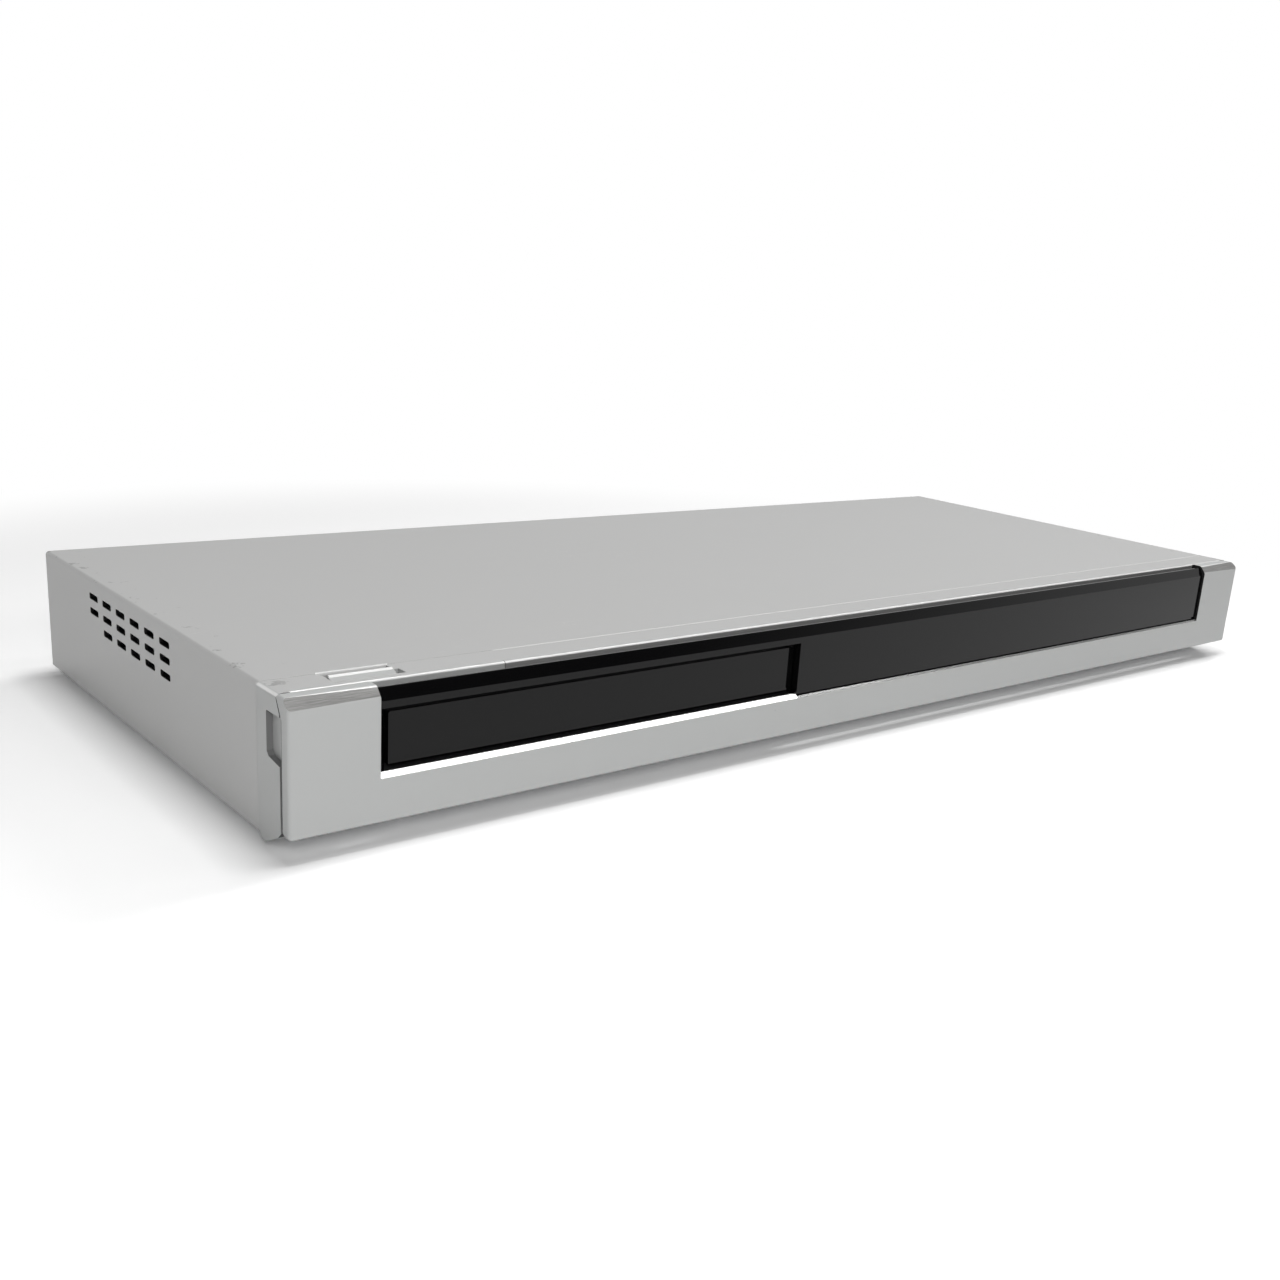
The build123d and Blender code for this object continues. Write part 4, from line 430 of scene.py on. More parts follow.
def bright_trim():
    made = Surface("bright_trim", colours().trim, 0.25, metallic=0.4)
    # Painted shade in narrow gaps
    made.tone(0.03, 0.05).paint_crevice_shade(0.0009, CREVICE_SHADE, 0.85)
    return made.edges(sizes().edge_round).brushed(0.0002, 0.000004).done()


def black_gloss():
    made = Surface("black_gloss", colours().window, 0.05, ior=1.30)
    return made.specks(0.009, 0.00016, 0.25, DUST, 0.25).vary_roughness(0.03, 0.035, 0.08).done()


def smoked_window():
    made = Surface("smoked_window", colours().window, 0.05, ior=1.31)
    return made.specks(0.012, 0.00016, 0.25, DUST, 0.25).vary_roughness(0.05, 0.035, 0.08).done()


def display_glass():
    made = Surface("display_glass", (0.012, 0.016, 0.017), 0.08, ior=1.45)
    return made.vary_roughness(0.02, 0.05, 0.12).done()


def zinc_steel():
    made = Surface("zinc_steel", (0.62, 0.63, 0.64), 0.38, metallic=0.85)
    made.tone(0.006, 0.16).vary_roughness(0.008, 0.3, 0.46).edges(sizes().sheet_round)
    return made.grain(0.0006, 0.000006).done()


def plated_steel():
    made = Surface("plated_steel", (0.60, 0.61, 0.62), 0.32, metallic=0.9)
    return made.tone(0.01, 0.1).vary_roughness(0.01, 0.25, 0.4).done()


def bright_steel():
    made = Surface("bright_steel", (0.66, 0.66, 0.67), 0.25, metallic=0.95)
    return made.tone(0.003, 0.12).vary_roughness(0.004, 0.2, 0.34).done()


def black_plastic():
    made = Surface("black_plastic", (0.022, 0.022, 0.023), 0.5)
    made.tone(0.02, 0.2).edges(sizes().edge_round)
    return made.grain(sizes().plastic_grain, 0.00002).done()


def circuit_board():
    made = Surface("circuit_board", (0.018, 0.085, 0.035), 0.4)
    tracks = put(made.tree, "TexVoronoi", {"Vector": made.place, "Scale": 220.0, "Randomness": 0.55},
                 distance="MANHATTAN", feature="DISTANCE_TO_EDGE")
    mask = calc(made.tree, "LESS_THAN", tracks.outputs["Distance"], 0.05)
    return made.mark(mask, (0.03, 0.15, 0.06)).tone(0.02, 0.1).done()


def aluminium():
    made = Surface("aluminium", (0.62, 0.63, 0.64), 0.35, metallic=0.9)
    return made.tone(0.01, 0.06).brushed(0.0003, 0.00001).done()


def cable():
    made = Surface("cable", (0.72, 0.72, 0.68), 0.4)
    lines = put(made.tree, "TexWave", {"Vector": made.place, "Scale": 300.0}, bands_direction="X")
    gaps = calc(made.tree, "GREATER_THAN", lines.outputs[1], 0.8)
    return made.mark(gaps, (0.55, 0.55, 0.52)).done()


FINISHES = (silver_paint, silver_plastic, brushed_facet, bright_ledge, bright_trim, black_gloss,
            smoked_window, display_glass, zinc_steel, plated_steel, bright_steel, black_plastic,
            circuit_board, aluminium, cable)

# Simpler finishes: colour, roughness, metallic, the tone's size and amount, and the grain's size and height
SIMPLE_FINISHES = {
    # A light colour that paints highlights onto rounded edges and thin lines
    "bright_edge": ((0.90, 0.90, 0.89), 0.25, 0.2, 0.02, 0.06),
    # Painted shade for the finger notches and the power key's dish
    "notch_shade": ((0.20, 0.20, 0.20), 0.55, 0.0, 0.01, 0.1),
    # Near black, painted shade for vents, gaps, openings and the holes of screws and sockets
    "opening_shade": ((0.006, 0.006, 0.006), 0.6, 0.0, 0.01, 0.2),
    "gold_contact": ((0.80, 0.56, 0.22), 0.25, 0.9, 0.002, 0.1),
    "yellow_insert": ((0.75, 0.52, 0.03), 0.4, 0.0, 0.004, 0.08),
    "red_insert": ((0.55, 0.03, 0.02), 0.4, 0.0, 0.004, 0.08),
    "dim_segment": ((0.05, 0.07, 0.07), 0.3, 0.0, 0.004, 0.1),
    "capacitor_sleeve": ((0.02, 0.025, 0.06), 0.25, 0.0, 0.006, 0.2),
    "rubber": ((0.028, 0.028, 0.028), 0.8, 0.0, 0.004, 0.3, 0.0004, 0.00003),
    "ferrite": ((0.05, 0.045, 0.04), 0.6, 0.0, 0.004, 0.3, 0.0004, 0.00002),
    "white_plastic": ((0.76, 0.76, 0.71), 0.45, 0.0, 0.01, 0.05, 0.0005, 0.00001),
    "cast_aluminium": ((0.50, 0.51, 0.52), 0.5, 0.8, 0.01, 0.12, 0.0008, 0.00002),
}


def finish_of(slot):
    return bpy.data.materials[slot + FINISH]


# Mesh helpers

def add_object(name, data):
    made = bpy.data.objects.new(name, data)
    bpy.context.scene.collection.objects.link(made)
    return made


def new_piece(name, work, node, slot=None, finish=None):
    """A finished object at the origin that rides on the body of a CAD node."""
    mesh = bpy.data.meshes.new(name)
    work.to_mesh(mesh)
    work.free()
    if "custom_normal" in mesh.attributes:
        mesh.attributes.remove(mesh.attributes["custom_normal"])
    piece = add_object(name, mesh)
    slot = slot or SLOT_OF[node]
    mesh.materials.append(finish_of(finish or slot))
    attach(piece, BODY_OF[node])
    return piece


def welded(node):
    """A CAD node's triangles as a closed mesh."""
    work = bmesh.new()
    work.from_mesh(NODES[node].data)
    bmesh.ops.remove_doubles(work, verts=work.verts, dist=SAME_PLACE * MM)
    return work


def merged(node, cuts=()):
    """A CAD node's shape as a closed mesh of large faces, split where a finish changes."""
    work = welded(node)
    bmesh.ops.dissolve_limit(work, angle_limit=FLAT, verts=work.verts, edges=work.edges)
    for place in cuts:
        everything = work.verts[:] + work.edges[:] + work.faces[:]
        bmesh.ops.bisect_plane(work, geom=everything, plane_co=(place * MM, 0, 0), plane_no=(1, 0, 0))
    for face in work.faces:
        face.smooth = False
    return work


def crisp(piece):
    """Shades a piece's slopes smoothly and keeps its corners sharp."""
    piece.data.set_sharp_from_angle(angle=SHARP)
    return piece


def stand_in(name, work, node):
    """A piece that takes the place of a CAD node."""
    piece = crisp(new_piece(name, work, node))
    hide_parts(node)
    return piece


def plain_copy(node, name, cuts=()):
    """Stands for a CAD node whose faces get several finishes."""
    return stand_in(name, merged(node, cuts), node)


def rounded_copy(node, name, width, chosen=None):
    """Stands for a CAD node, with its long sharp edges rounded."""
    work = merged(node)
    sharp = [edge for edge in work.edges
             if len(edge.link_faces) == 2 and edge.calc_length() > LONG_EDGE * MM
             and edge.calc_face_angle(0.0) > ROUNDED and (chosen is None or chosen(edge))]
    made = bmesh.ops.bevel(work, geom=sharp, offset=width, offset_type="OFFSET", affect="EDGES",
                           segments=sizes().round_steps, profile=0.5, material=-1, clamp_overlap=False,
                           loop_slide=True)
    for face in made["faces"]:
        face.smooth = True
    return stand_in(name, work, node)


def refinish(piece, **finishes):
    """Gives some faces of a piece other finishes, each by the test that chooses its faces."""
    mesh = piece.data
    for name, chosen in finishes.items():
        mesh.materials.append(finish_of(name))
        for face in mesh.polygons:
            if chosen(face.center / MM, face.normal):
                face.material_index = len(mesh.materials) - 1


def islands(node):
    """The boxes, in mm, of the separate bodies in a CAD node, from left to right."""
    work = welded(node)
    left = set(work.verts)
    boxes = []
    while left:
        waiting = [left.pop()]
        places = []
        while waiting:
            vert = waiting.pop()
            places.append(vert.co / MM)
            near = {edge.other_vert(vert) for edge in vert.link_edges} & left
            left -= near
            waiting.extend(near)
        boxes.append((Vector(map(min, zip(*places))), Vector(map(max, zip(*places)))))
    work.free()
    return sorted(boxes, key=lambda box: (round(box[0].x), box[0].y, box[0].z))


def add_box(work, low, high):
    """A block between two corners in mm."""
    low, high = Vector(low) * MM, Vector(high) * MM
    for vert in bmesh.ops.create_cube(work, size=1.0)["verts"]:
        vert.co = Vector([low[i] + (vert.co[i] + 0.5) * (high[i] - low[i]) for i in range(3)])


def add_between(work, near, far):
    """A solid between two matching outlines of places in mm."""
    near, far = ([work.verts.new([value * MM for value in place]) for place in outline]
                 for outline in (near, far))
    faces = [work.faces.new(near), work.faces.new(far[::-1])]
    for i, vert in enumerate(near):
        after = (i + 1) % len(near)
        faces.append(work.faces.new((near[after], vert, far[i], far[after])))
    bmesh.ops.recalc_face_normals(work, faces=faces)


def add_prism(work, outline, front, back):
    """An upright outline of (x, z) in mm, from one y to another."""
    add_between(work, *([(x, y, z) for x, z in outline] for y in (front, back)))


def add_rail(work, section, left, right):
    """A section of (y, z) in mm, from one x to another."""
    add_between(work, *([(x, y, z) for y, z in section] for x in (left, right)))


def add_turned(work, profile, centre, axis="y", steps=40):
    """A ring whose closed profile of (radius, reach) in mm goes round an axis."""
    loops = []
    for i in range(steps):
        turn = 2 * pi * i / steps
        loop = []
        for radius, reach in profile:
            across, up = radius * cos(turn), radius * sin(turn)
            place = (across, reach, up) if axis == "y" else (across, up, reach)
            loop.append(work.verts.new((Vector(place) + Vector(centre)) * MM))
        loops.append(loop)
    faces = []
    for i, loop in enumerate(loops):
        following = loops[(i + 1) % steps]
        for j, vert in enumerate(loop):
            after = (j + 1) % len(profile)
            faces.append(work.faces.new((vert, loop[after], following[after], following[j])))
    for face in faces:
        face.smooth = True
    bmesh.ops.recalc_face_normals(work, faces=faces)


def add_post(work, centre, radius, low, high, axis="y", round_off=0.0, steps=32):
    """A round post in mm, whose end may be bevelled."""
    middle = 0.02
    profile = [(middle, low), (radius, low), (radius, high - round_off), (middle, high)]
    if round_off:
        profile.insert(3, (radius - round_off, high))
    add_turned(work, profile, centre, axis, steps)


# Operators, one for each group of pieces

class RECORDER_OT_materials(bpy.types.Operator):
    """Make every material and give it to the CAD nodes"""
    bl_idname = "recorder.materials"
    bl_label = "Materials"

    def execute(self, context):
        make_groups()
        for finish in FINISHES:
            finish()
        for name, (colour, roughness, metallic, size, amount, *grain) in SIMPLE_FINISHES.items():
            made = Surface(name, colour, roughness, metallic).tone(size, amount)
            if grain:
                made.grain(*grain)
            made.done()
        for name, node in NODES.items():
            for slot in node.material_slots:
                slot.material = finish_of(SLOT_OF[name])
        return {"FINISHED"}


# Tests that choose edges to round. Their places are in mm

def ends_pass(edge, test):
    return all(test(*(value / MM for value in point.co)) for point in edge.verts)


def is_fold(edge):
    """The two long folds between the cover's top and its sides."""
    return ends_pass(edge, lambda x, y, z: z > COVER_TOP - 0.1
                     and min(x - COVER_LEFT, COVER_RIGHT - x) < 0.1)


def is_outer_edge(edge):
    """The door's edges along its outline, seen from the front."""
    return ends_pass(edge, lambda x, y, z: y < DOOR_FRONT + 3 and (
        z > 37 or z < DOOR_BOTTOM + 0.5 or abs(x) > DOOR_SIDE - 0.2))


def is_key_front(edge):
    """The edges round the front face of a key behind the door."""
    return ends_pass(edge, lambda x, y, z: y < -89.2)


# Tests that choose faces for another finish, by the face's middle in mm and its normal

def is_vent_wall(place, normal):
    """The cut edges of the vents in the cover's left side, which get painted shade."""
    inside = COVER_LEFT < place.x < COVER_LEFT + 1.5 and 8 < place.z < 38 and place.y < COVER_BACK - 2
    return inside and abs(normal.x) < 0.7


def is_behind_door(place, normal):
    """The front of the moulding that the closed door hides."""
    between = abs(place.x) < CAP_SIDE + 0.5 and 1 < place.z < 38
    return between and normal.y < -0.5 and place.y > DOOR_FRONT + 4


def is_notch_wall(place, normal):
    """The walls of the finger notches in the end caps, which get painted shade."""
    deep = DOOR_FRONT + 4 < place.y < DOOR_FRONT + 12
    return deep and abs(place.x) > CAP_SIDE and 23 < place.z < 37 and abs(normal.x) < 0.5


def is_deck_seam(place, normal):
    """The deck's front face where only a gap shows it, behind the door's ends, which gets painted shade."""
    return normal.y < -0.72 and place.z > 37.5 and not WINDOW_SIDES[0] < place.x < WINDOW_SIDES[1]


def is_deck_top(place, normal):
    return normal.z > 0.99 and place.z > 40.9


def is_deck_round(place, normal):
    """The rounded front edge of the deck, and the caps' upper outer edges, which get a painted highlight."""
    front = place.y < DOOR_FRONT + 8 and -0.97 < normal.y < -0.2 and normal.z > 0.2
    front = front and (normal.y > -0.72 or WINDOW_SIDES[0] < place.x < WINDOW_SIDES[1])
    side = place.y < DOOR_FRONT + 18 and abs(place.x) > CAP_SIDE and 0.45 < abs(normal.x) < 0.9
    return place.z > 39.5 and normal.z > 0.2 and (front or side)


def is_key_recess(place, normal):
    """The rear wall of the slot that the power key sits in, which gets a painted highlight."""
    return normal.y < -0.9 and place.z > 38.5 and DOOR_FRONT + 15 < place.y < DOOR_FRONT + 17


def is_key_dish(place, normal):
    """The dish along the rear of the power key's top, which gets painted shade."""
    return place.z > 40 and normal.z > 0.5 and place.y > DOOR_FRONT + 12.7


def is_door_crest(place, normal):
    """The rounded edge between the door's facet and its top, which gets a painted highlight."""
    return place.z > 40.5 and -0.68 < normal.y < -0.1 and abs(normal.x) < 0.2


def is_door_back(place, normal):
    return normal.y > 0.7 and place.y > DOOR_FRONT + 1.4


def is_door_facet(place, normal):
    """The door's upper bevel."""
    return place.z > 37 and normal.y < -0.6 and normal.z > 0.55


def is_ledge(place, normal):
    """The slope under the window."""
    return 17 < place.z < 20 and normal.y < -0.5 and normal.z > 0.5


def is_opening_wall(place, normal):
    """The walls of the door's opening for the tray, which get painted shade."""
    low, high = OPENING_HEIGHTS
    return place.y > DOOR_FRONT + 1.5 and low < place.z < high and normal.y > -0.5


# Painted highlight lines at the power key: name, node, section of (y, z), left end and right end
KEY_HIGHLIGHTS = (
    ("key_surround_line", "front_panel", ((-78.5, 40.7), (-78.1, 41.3), (-78.0, 41.3), (-78.0, 40.8)),
     -200.2, -181.0),
    ("key_ridge_line", "power_button", ((-83.0, 41.05), (-82.5, 41.6), (-82.2, 41.6), (-82.2, 41.1)),
     -198.9, -181.9),
)
# A painted highlight line along the seam between the deck and the cover: its two corners in mm
DECK_HIGHLIGHT = ((-150.0, -78.3, 40.9), (211.0, -78.0, 41.0 + PROUD))


class RECORDER_OT_case(bpy.types.Operator):
    """Dress the metal cover and the front moulding"""
    bl_idname = "recorder.case"
    bl_label = "Case"

    def execute(self, context):
        cover = rounded_copy("top_cover", "cover_shell", sizes().fold_round, is_fold)
        # The vents' cut walls get painted shade
        refinish(cover, opening_shade=is_vent_wall)
        panel = plain_copy("front_panel", "front_moulding", WINDOW_SIDES)
        strip = plain_copy("top_lip", "deck_strip", WINDOW_SIDES[1:])
        # The notches' walls get painted shade
        refinish(panel, black_plastic=is_behind_door, notch_shade=is_notch_wall)
        # The deck's top gets the cover's paint, the gap behind the door's ends painted shade, and the
        # rounded edges a painted highlight
        for piece in (panel, strip):
            refinish(piece, silver_paint=is_deck_top, opening_shade=is_deck_seam, bright_edge=is_deck_round)
        # The rear wall of the power key's slot gets a painted highlight
        refinish(panel, bright_edge=is_key_recess)
        # Painted highlight lines at the deck's seam and at the power key
        seam = bmesh.new()
        add_box(seam, *DECK_HIGHLIGHT)
        new_piece("deck_seam_line", seam, "front_panel", finish="bright_edge")
        for name, node, section, left, right in KEY_HIGHLIGHTS:
            line = bmesh.new()
            add_rail(line, section, left, right)
            new_piece(name, line, node, finish="bright_edge")
        key = plain_copy("power_button", "power_bar")
        # The key's dish gets painted shade
        refinish(key, notch_shade=is_key_dish)
        return {"FINISHED"}


class RECORDER_OT_door(bpy.types.Operator):
    """Dress the door, its window and the tray's front"""
    bl_idname = "recorder.door"
    bl_label = "Door"

    def execute(self, context):
        door = rounded_copy("front_door", "door_shell", sizes().crest_round, is_outer_edge)
        # The opening's walls get painted shade and the crest a painted highlight
        refinish(door, black_plastic=is_door_back, opening_shade=is_opening_wall,
                 brushed_facet=is_door_facet, bright_ledge=is_ledge, bright_edge=is_door_crest)
        rounded_copy("tray_front", "tray_fascia", sizes().glass_round)
        return {"FINISHED"}


# A screw's cross, laid on as painted shade, in mm: half the length and width of an arm, and its depth
CROSS_ARM = 1.5
CROSS_WIDTH = 0.35
CROSS_DEPTH = 0.3


class RECORDER_OT_fasteners(bpy.types.Operator):
    """Add painted shade for the screws' cross recesses, and a dark ring on the rear screws' heads"""
    bl_idname = "recorder.fasteners"
    bl_label = "Screw recesses"

    def execute(self, context):
        rear, under = bmesh.new(), bmesh.new()
        arms = ((CROSS_ARM, CROSS_WIDTH), (CROSS_WIDTH, CROSS_ARM))
        for low, high in islands("cover_screws"):
            x, z = (low.x + high.x) / 2, (low.z + high.z) / 2
            # A dark ring on each rear head, with the same painted shade finish
            add_turned(rear, [(2.25, high.y - 0.1), (2.5, high.y - 0.1), (2.45, high.y + PROUD),
                              (2.3, high.y + PROUD)], (x, 0, z))
            for across, up in arms:
                add_box(rear, (x - across, high.y - CROSS_DEPTH, z - up),
                        (x + across, high.y + PROUD, z + up))
        for low, high in islands("chassis_screws"):
            x, y = (low.x + high.x) / 2, (low.y + high.y) / 2
            for across, along in arms:
                add_box(under, (x - across, y - along, low.z - PROUD),
                        (x + across, y + along, low.z + CROSS_DEPTH))
        new_piece("cover_screw_recesses", rear, "cover_screws", finish="opening_shade")
        new_piece("chassis_screw_recesses", under, "chassis_screws", finish="opening_shade")
        return {"FINISHED"}


# Places of the sockets in mm
AERIAL_X = (-32.0, -14.0)
AERIAL_Z = (15.2, 28.0)
AERIAL_END = 94.2
THREAD_START = 85.6
THREAD_TURNS = 9
PHONO_Z = 17.0
LAN_X = 31.0
HDMI_X = 10.0
USB_X = 160
INLET_X = 190
INLET_Z = 21.0


class RECORDER_OT_sockets(bpy.types.Operator):
    """Add the contacts, threads and coloured rings of the sockets, and painted shade in the aerials' centre
    holes
    """
    bl_idname = "recorder.sockets"
    bl_label = "Sockets"

    def execute(self, context):
        self.aerials()
        self.phono_rings()
        self.contacts()
        return {"FINISHED"}

    def aerials(self):
        threads, cores, hole_shades = bmesh.new(), bmesh.new(), bmesh.new()
        end = AERIAL_END + PROUD
        for x in AERIAL_X:
            for z in AERIAL_Z:
                for turn in range(THREAD_TURNS):
                    at = THREAD_START + turn
                    add_turned(threads, [(4.6, at - 0.35), (4.98, at - 0.05), (4.98, at + 0.05),
                                         (4.6, at + 0.35)], (x, 0, z))
                add_turned(cores, [(0.55, 93.9), (2.3, 93.9), (2.3, end), (0.7, end)], (x, 0, z))
                # A dark post fills each centre hole, as painted shade
                add_post(hole_shades, (x, 0, z), 0.62, 93.9, AERIAL_END + PROUD / 2, steps=20)
        crisp(new_piece("aerial_threads", threads, "tuner_module"))
        crisp(new_piece("aerial_cores", cores, "tuner_module", "white_plastic"))
        new_piece("aerial_contacts", hole_shades, "tuner_module", finish="opening_shade")

    def phono_rings(self):
        shells = bmesh.new()
        tints = ("yellow_insert", "white_plastic", "red_insert")
        for (low, high), tint in zip(islands("av_sockets"), tints):
            work = bmesh.new()
            x = (low.x + high.x) / 2
            add_turned(work, [(1.7, high.y - 0.2), (3.25, high.y - 0.2), (3.2, high.y + PROUD),
                              (1.75, high.y + PROUD)], (x, 0, PHONO_Z))
            add_turned(work, [(4.2, 83.25), (5.5, 83.25), (5.5, 83.9), (5.3, 84.1), (4.2, 84.1)],
                       (x, 0, PHONO_Z))
            crisp(new_piece(f"phono_ring_{round(x)}", work, "av_sockets", "white_plastic", finish=tint))
            add_turned(shells, [(3.3, high.y - 0.3), (4.16, high.y - 0.3), (4.2, 84.6), (4.26, 84.6),
                                (4.26, high.y - 0.2), (4.1, high.y + 0.05), (3.4, high.y + 0.05)],
                       (x, 0, PHONO_Z))
        crisp(new_piece("phono_shells", shells, "av_sockets", "plated_steel"))

    def contacts(self):
        work = bmesh.new()
        for number in range(8):
            x = LAN_X + (number - 3.5) * 1.02
            add_box(work, (x - 0.22, 73.1, 19.9), (x + 0.22, 81.0, 20.15))
            add_box(work, (x - 0.22, 80.8, 19.95), (x + 0.22, 81.05, 20.95))
        new_piece("lan_contacts", work, "lan_socket", "plated_steel", finish="gold_contact")
        work = bmesh.new()
        for number in range(19):
            x = HDMI_X + (number - 9) * 0.5
            low, high = (15.96, 16.04) if number % 2 else (14.96, 15.04)
            add_box(work, (x - 0.15, 76.0, low), (x + 0.15, 83.4, high))
        new_piece("hdmi_contacts", work, "hdmi_socket", "plated_steel", finish="gold_contact")
        work = bmesh.new()
        for offset in (-3.5, -1.25, 1.25, 3.5):
            x = USB_X + offset
            add_box(work, (x - 0.55, -86.8, 26.62), (x + 0.55, -78.0, 26.72))
        new_piece("usb_contacts", work, "front_usb_socket", "plated_steel", finish="gold_contact")
        work = bmesh.new()
        for side in (-4.3, 4.3):
            add_post(work, (INLET_X + side, 0, INLET_Z), 1.24, 73.0, 83.6, round_off=0.4)
        crisp(new_piece("inlet_pins", work, "mains_inlet", "plated_steel"))


def ring_outline(radius, steps=28):
    turns = [2 * pi * i / steps for i in range(steps)]
    return [(radius * cos(turn), radius * sin(turn)) for turn in turns]


CHEVRON = ((-1.5, -0.8), (0, 0.32), (1.5, -0.8), (1.5, -0.24), (0, 0.88), (-1.5, -0.24))

# Plain symbols of the keys behind the door, as outlines of (x, z) in mm round the key's middle
SYMBOLS = {
    "open": [((-1.3, -0.2), (1.3, -0.2), (0, 1.2)), ((-1.3, -1.1), (1.3, -1.1), (1.3, -0.6), (-1.3, -0.6))],
    "stop": [((-1, -1), (1, -1), (1, 1), (-1, 1))],
    "play": [((-0.9, -1.2), (1.3, 0), (-0.9, 1.2))],
    "record": [ring_outline(1.1)],
    "channel_down": [[(x, -z) for x, z in CHEVRON]],
    "channel_up": [CHEVRON],
}

# The display: a digit's seven segments as left, foot, right and top at half size, then its places in mm
SEGMENTS = ((0.3, 4.5, 2.2, 4.9), (0.3, 2.25, 2.2, 2.65), (0.3, 0.0, 2.2, 0.4), (0.0, 0.5, 0.35, 2.3),
            (2.15, 0.5, 2.5, 2.3), (0.0, 2.6, 0.35, 4.4), (2.15, 2.6, 2.5, 4.4))
DIGITS = 8
DIGIT_PITCH = 8.6
DIGIT_FOOT = 19.5
MIDDLE_GAP = 2.0


class RECORDER_OT_controls(bpy.types.Operator):
    """Round the keys behind the door, and add their symbols and the display's segments"""
    bl_idname = "recorder.controls"
    bl_label = "Controls"

    def execute(self, context):
        for name, outlines in SYMBOLS.items():
            node = name + "_button"
            low, high = (corner / MM for corner in map(Vector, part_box(node)))
            x, z = (low.x + high.x) / 2, (low.z + high.z) / 2
            work = bmesh.new()
            for outline in outlines:
                placed = [(x + across, z + up) for across, up in outline]
                add_prism(work, placed, low.y - PROUD, low.y + 0.1)
            tint = "red_insert" if name == "record" else "white_plastic"
            new_piece(node + "_symbol", work, node, "white_plastic", finish=tint)
            rounded_copy(node, name + "_key_cap", sizes().key_round, is_key_front)
        self.display()
        return {"FINISHED"}

    def display(self):
        low, high = (corner / MM for corner in map(Vector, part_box("display_module")))
        work = bmesh.new()
        for digit in range(DIGITS):
            left = (low.x + high.x) / 2 - 34 + digit * DIGIT_PITCH + (MIDDLE_GAP if digit > 3 else 0.0)
            for x0, z0, x1, z1 in SEGMENTS:
                add_box(work, (left + x0 * 2, low.y - PROUD, DIGIT_FOOT + z0 * 2),
                        (left + x1 * 2, low.y + 0.1, DIGIT_FOOT + z1 * 2))
        new_piece("display_segments", work, "display_module", finish="dim_segment")


# Parts on the boards in mm: middle x and y, then width, depth and height, or radius and height for the cans
CHIPS = ((-20, 36, 14, 14, 1.6), (2, 36, 18, 10, 1.2), (24, 36, 12, 12, 1.4), (8, 54, 14, 14, 1.6),
         (28, 54, 9, 12, 1.2), (98, 36, 12, 12, 1.4), (98, 54, 10, 8, 1.2), (-30, 38, 4, 5, 1.2))
CANS = ((-36, 31, 2.0, 7), (14, 44, 2.0, 7), (20, 45, 2.0, 7), (34, 44, 3.1, 9), (90, 45, 3.1, 9),
        (106, 45, 2.0, 7), (0, 65, 3.1, 9), (106, 62, 2.0, 7), (36, 30, 2.0, 7))
POWER_PARTS = ((120, -66, 8, 5, 9), (132, -66, 6, 5, 11), (172, -66, 12, 8, 9), (202, -60, 5, 12, 12),
               (122, -30, 6, 10, 5), (172, 0, 10, 7, 12), (196, 10, 14, 8, 12), (196, 45, 16, 10, 15),
               (128, 48, 10, 12, 8), (150, 50, 8, 8, 6))
LEG_PITCH = 0.8


class RECORDER_OT_boards(bpy.types.Operator):
    """Add the parts on the boards inside"""
    bl_idname = "recorder.boards"
    bl_label = "Board parts"

    def execute(self, context):
        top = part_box("main_board")[1][2] / MM
        chips, legs, cans, caps = (bmesh.new() for _ in range(4))
        for x, y, wide, deep, tall in CHIPS:
            add_box(chips, (x - wide / 2, y - deep / 2, top + 0.1), (x + wide / 2, y + deep / 2, top + tall))
            for number in range(int(deep / LEG_PITCH)):
                at = y - deep / 2 + 0.6 + number * LEG_PITCH
                for side in (-1, 1):
                    left, right = sorted((x + side * wide / 2, x + side * (wide / 2 + 0.9)))
                    add_box(legs, (left, at - 0.15, top), (right, at + 0.15, top + 0.3))
        for x, y, radius, tall in CANS:
            add_post(cans, (x, y, 0), radius, top, top + tall, "z", round_off=0.4, steps=24)
        for number in range(40):
            x = -36 + (number * 37 % 140)
            y = 28 + (number * 11 % 5) * 0.9 + (18 if number % 3 else 0)
            add_box(caps, (x - 0.8, y - 0.4, top), (x + 0.8, y + 0.4, top + 0.8))
        new_piece("board_chips", chips, "main_board", "black_plastic")
        new_piece("chip_legs", legs, "main_board", "plated_steel")
        crisp(new_piece("board_cans", cans, "main_board", "aluminium"))
        new_piece("board_chip_capacitors", caps, "main_board", "ferrite")
        parts = bmesh.new()
        for x, y, wide, deep, tall in POWER_PARTS:
            add_box(parts, (x - wide / 2, y - deep / 2, top), (x + wide / 2, y + deep / 2, top + tall))
        new_piece("power_board_parts", parts, "power_board", "ferrite")
        return {"FINISHED"}


# Stage

IMAGE_PIXELS = 1280

# Lamps: name, setting with its power, place, aim, width and height, and whether gloss shows it
LAMPS = (
    ("front_lamp", "front_light", (-0.45, -0.60, 0.35), (-0.1, -0.09, 0.02), 0.3, 0.25, False),
    ("fill_lamp", "fill_light", (0.1, -1.6, 0.9), (0.1, -0.2, 0.0), 0.6, 0.3, False),
    ("top_lamp", "top_light", (0.0, -0.1, 1.3), (0.0, -0.1, 0.0), 0.5, 0.3, True),
    ("side_lamp", "side_light", (2.0, 0.45, 1.5), (0.0, 0.0, 0.0), 0.9, 0.9, False),
    ("ledge_lamp", "strip_light", (0.6, -0.42, 1.0), (0.6, -0.2, 0.0), 1.2, 0.08, True),
    ("edge_lamp", "edge_light", (0.8, 0.03, 1.0), (0.8, 0.0, 0.0), 1.4, 0.06, True),
)


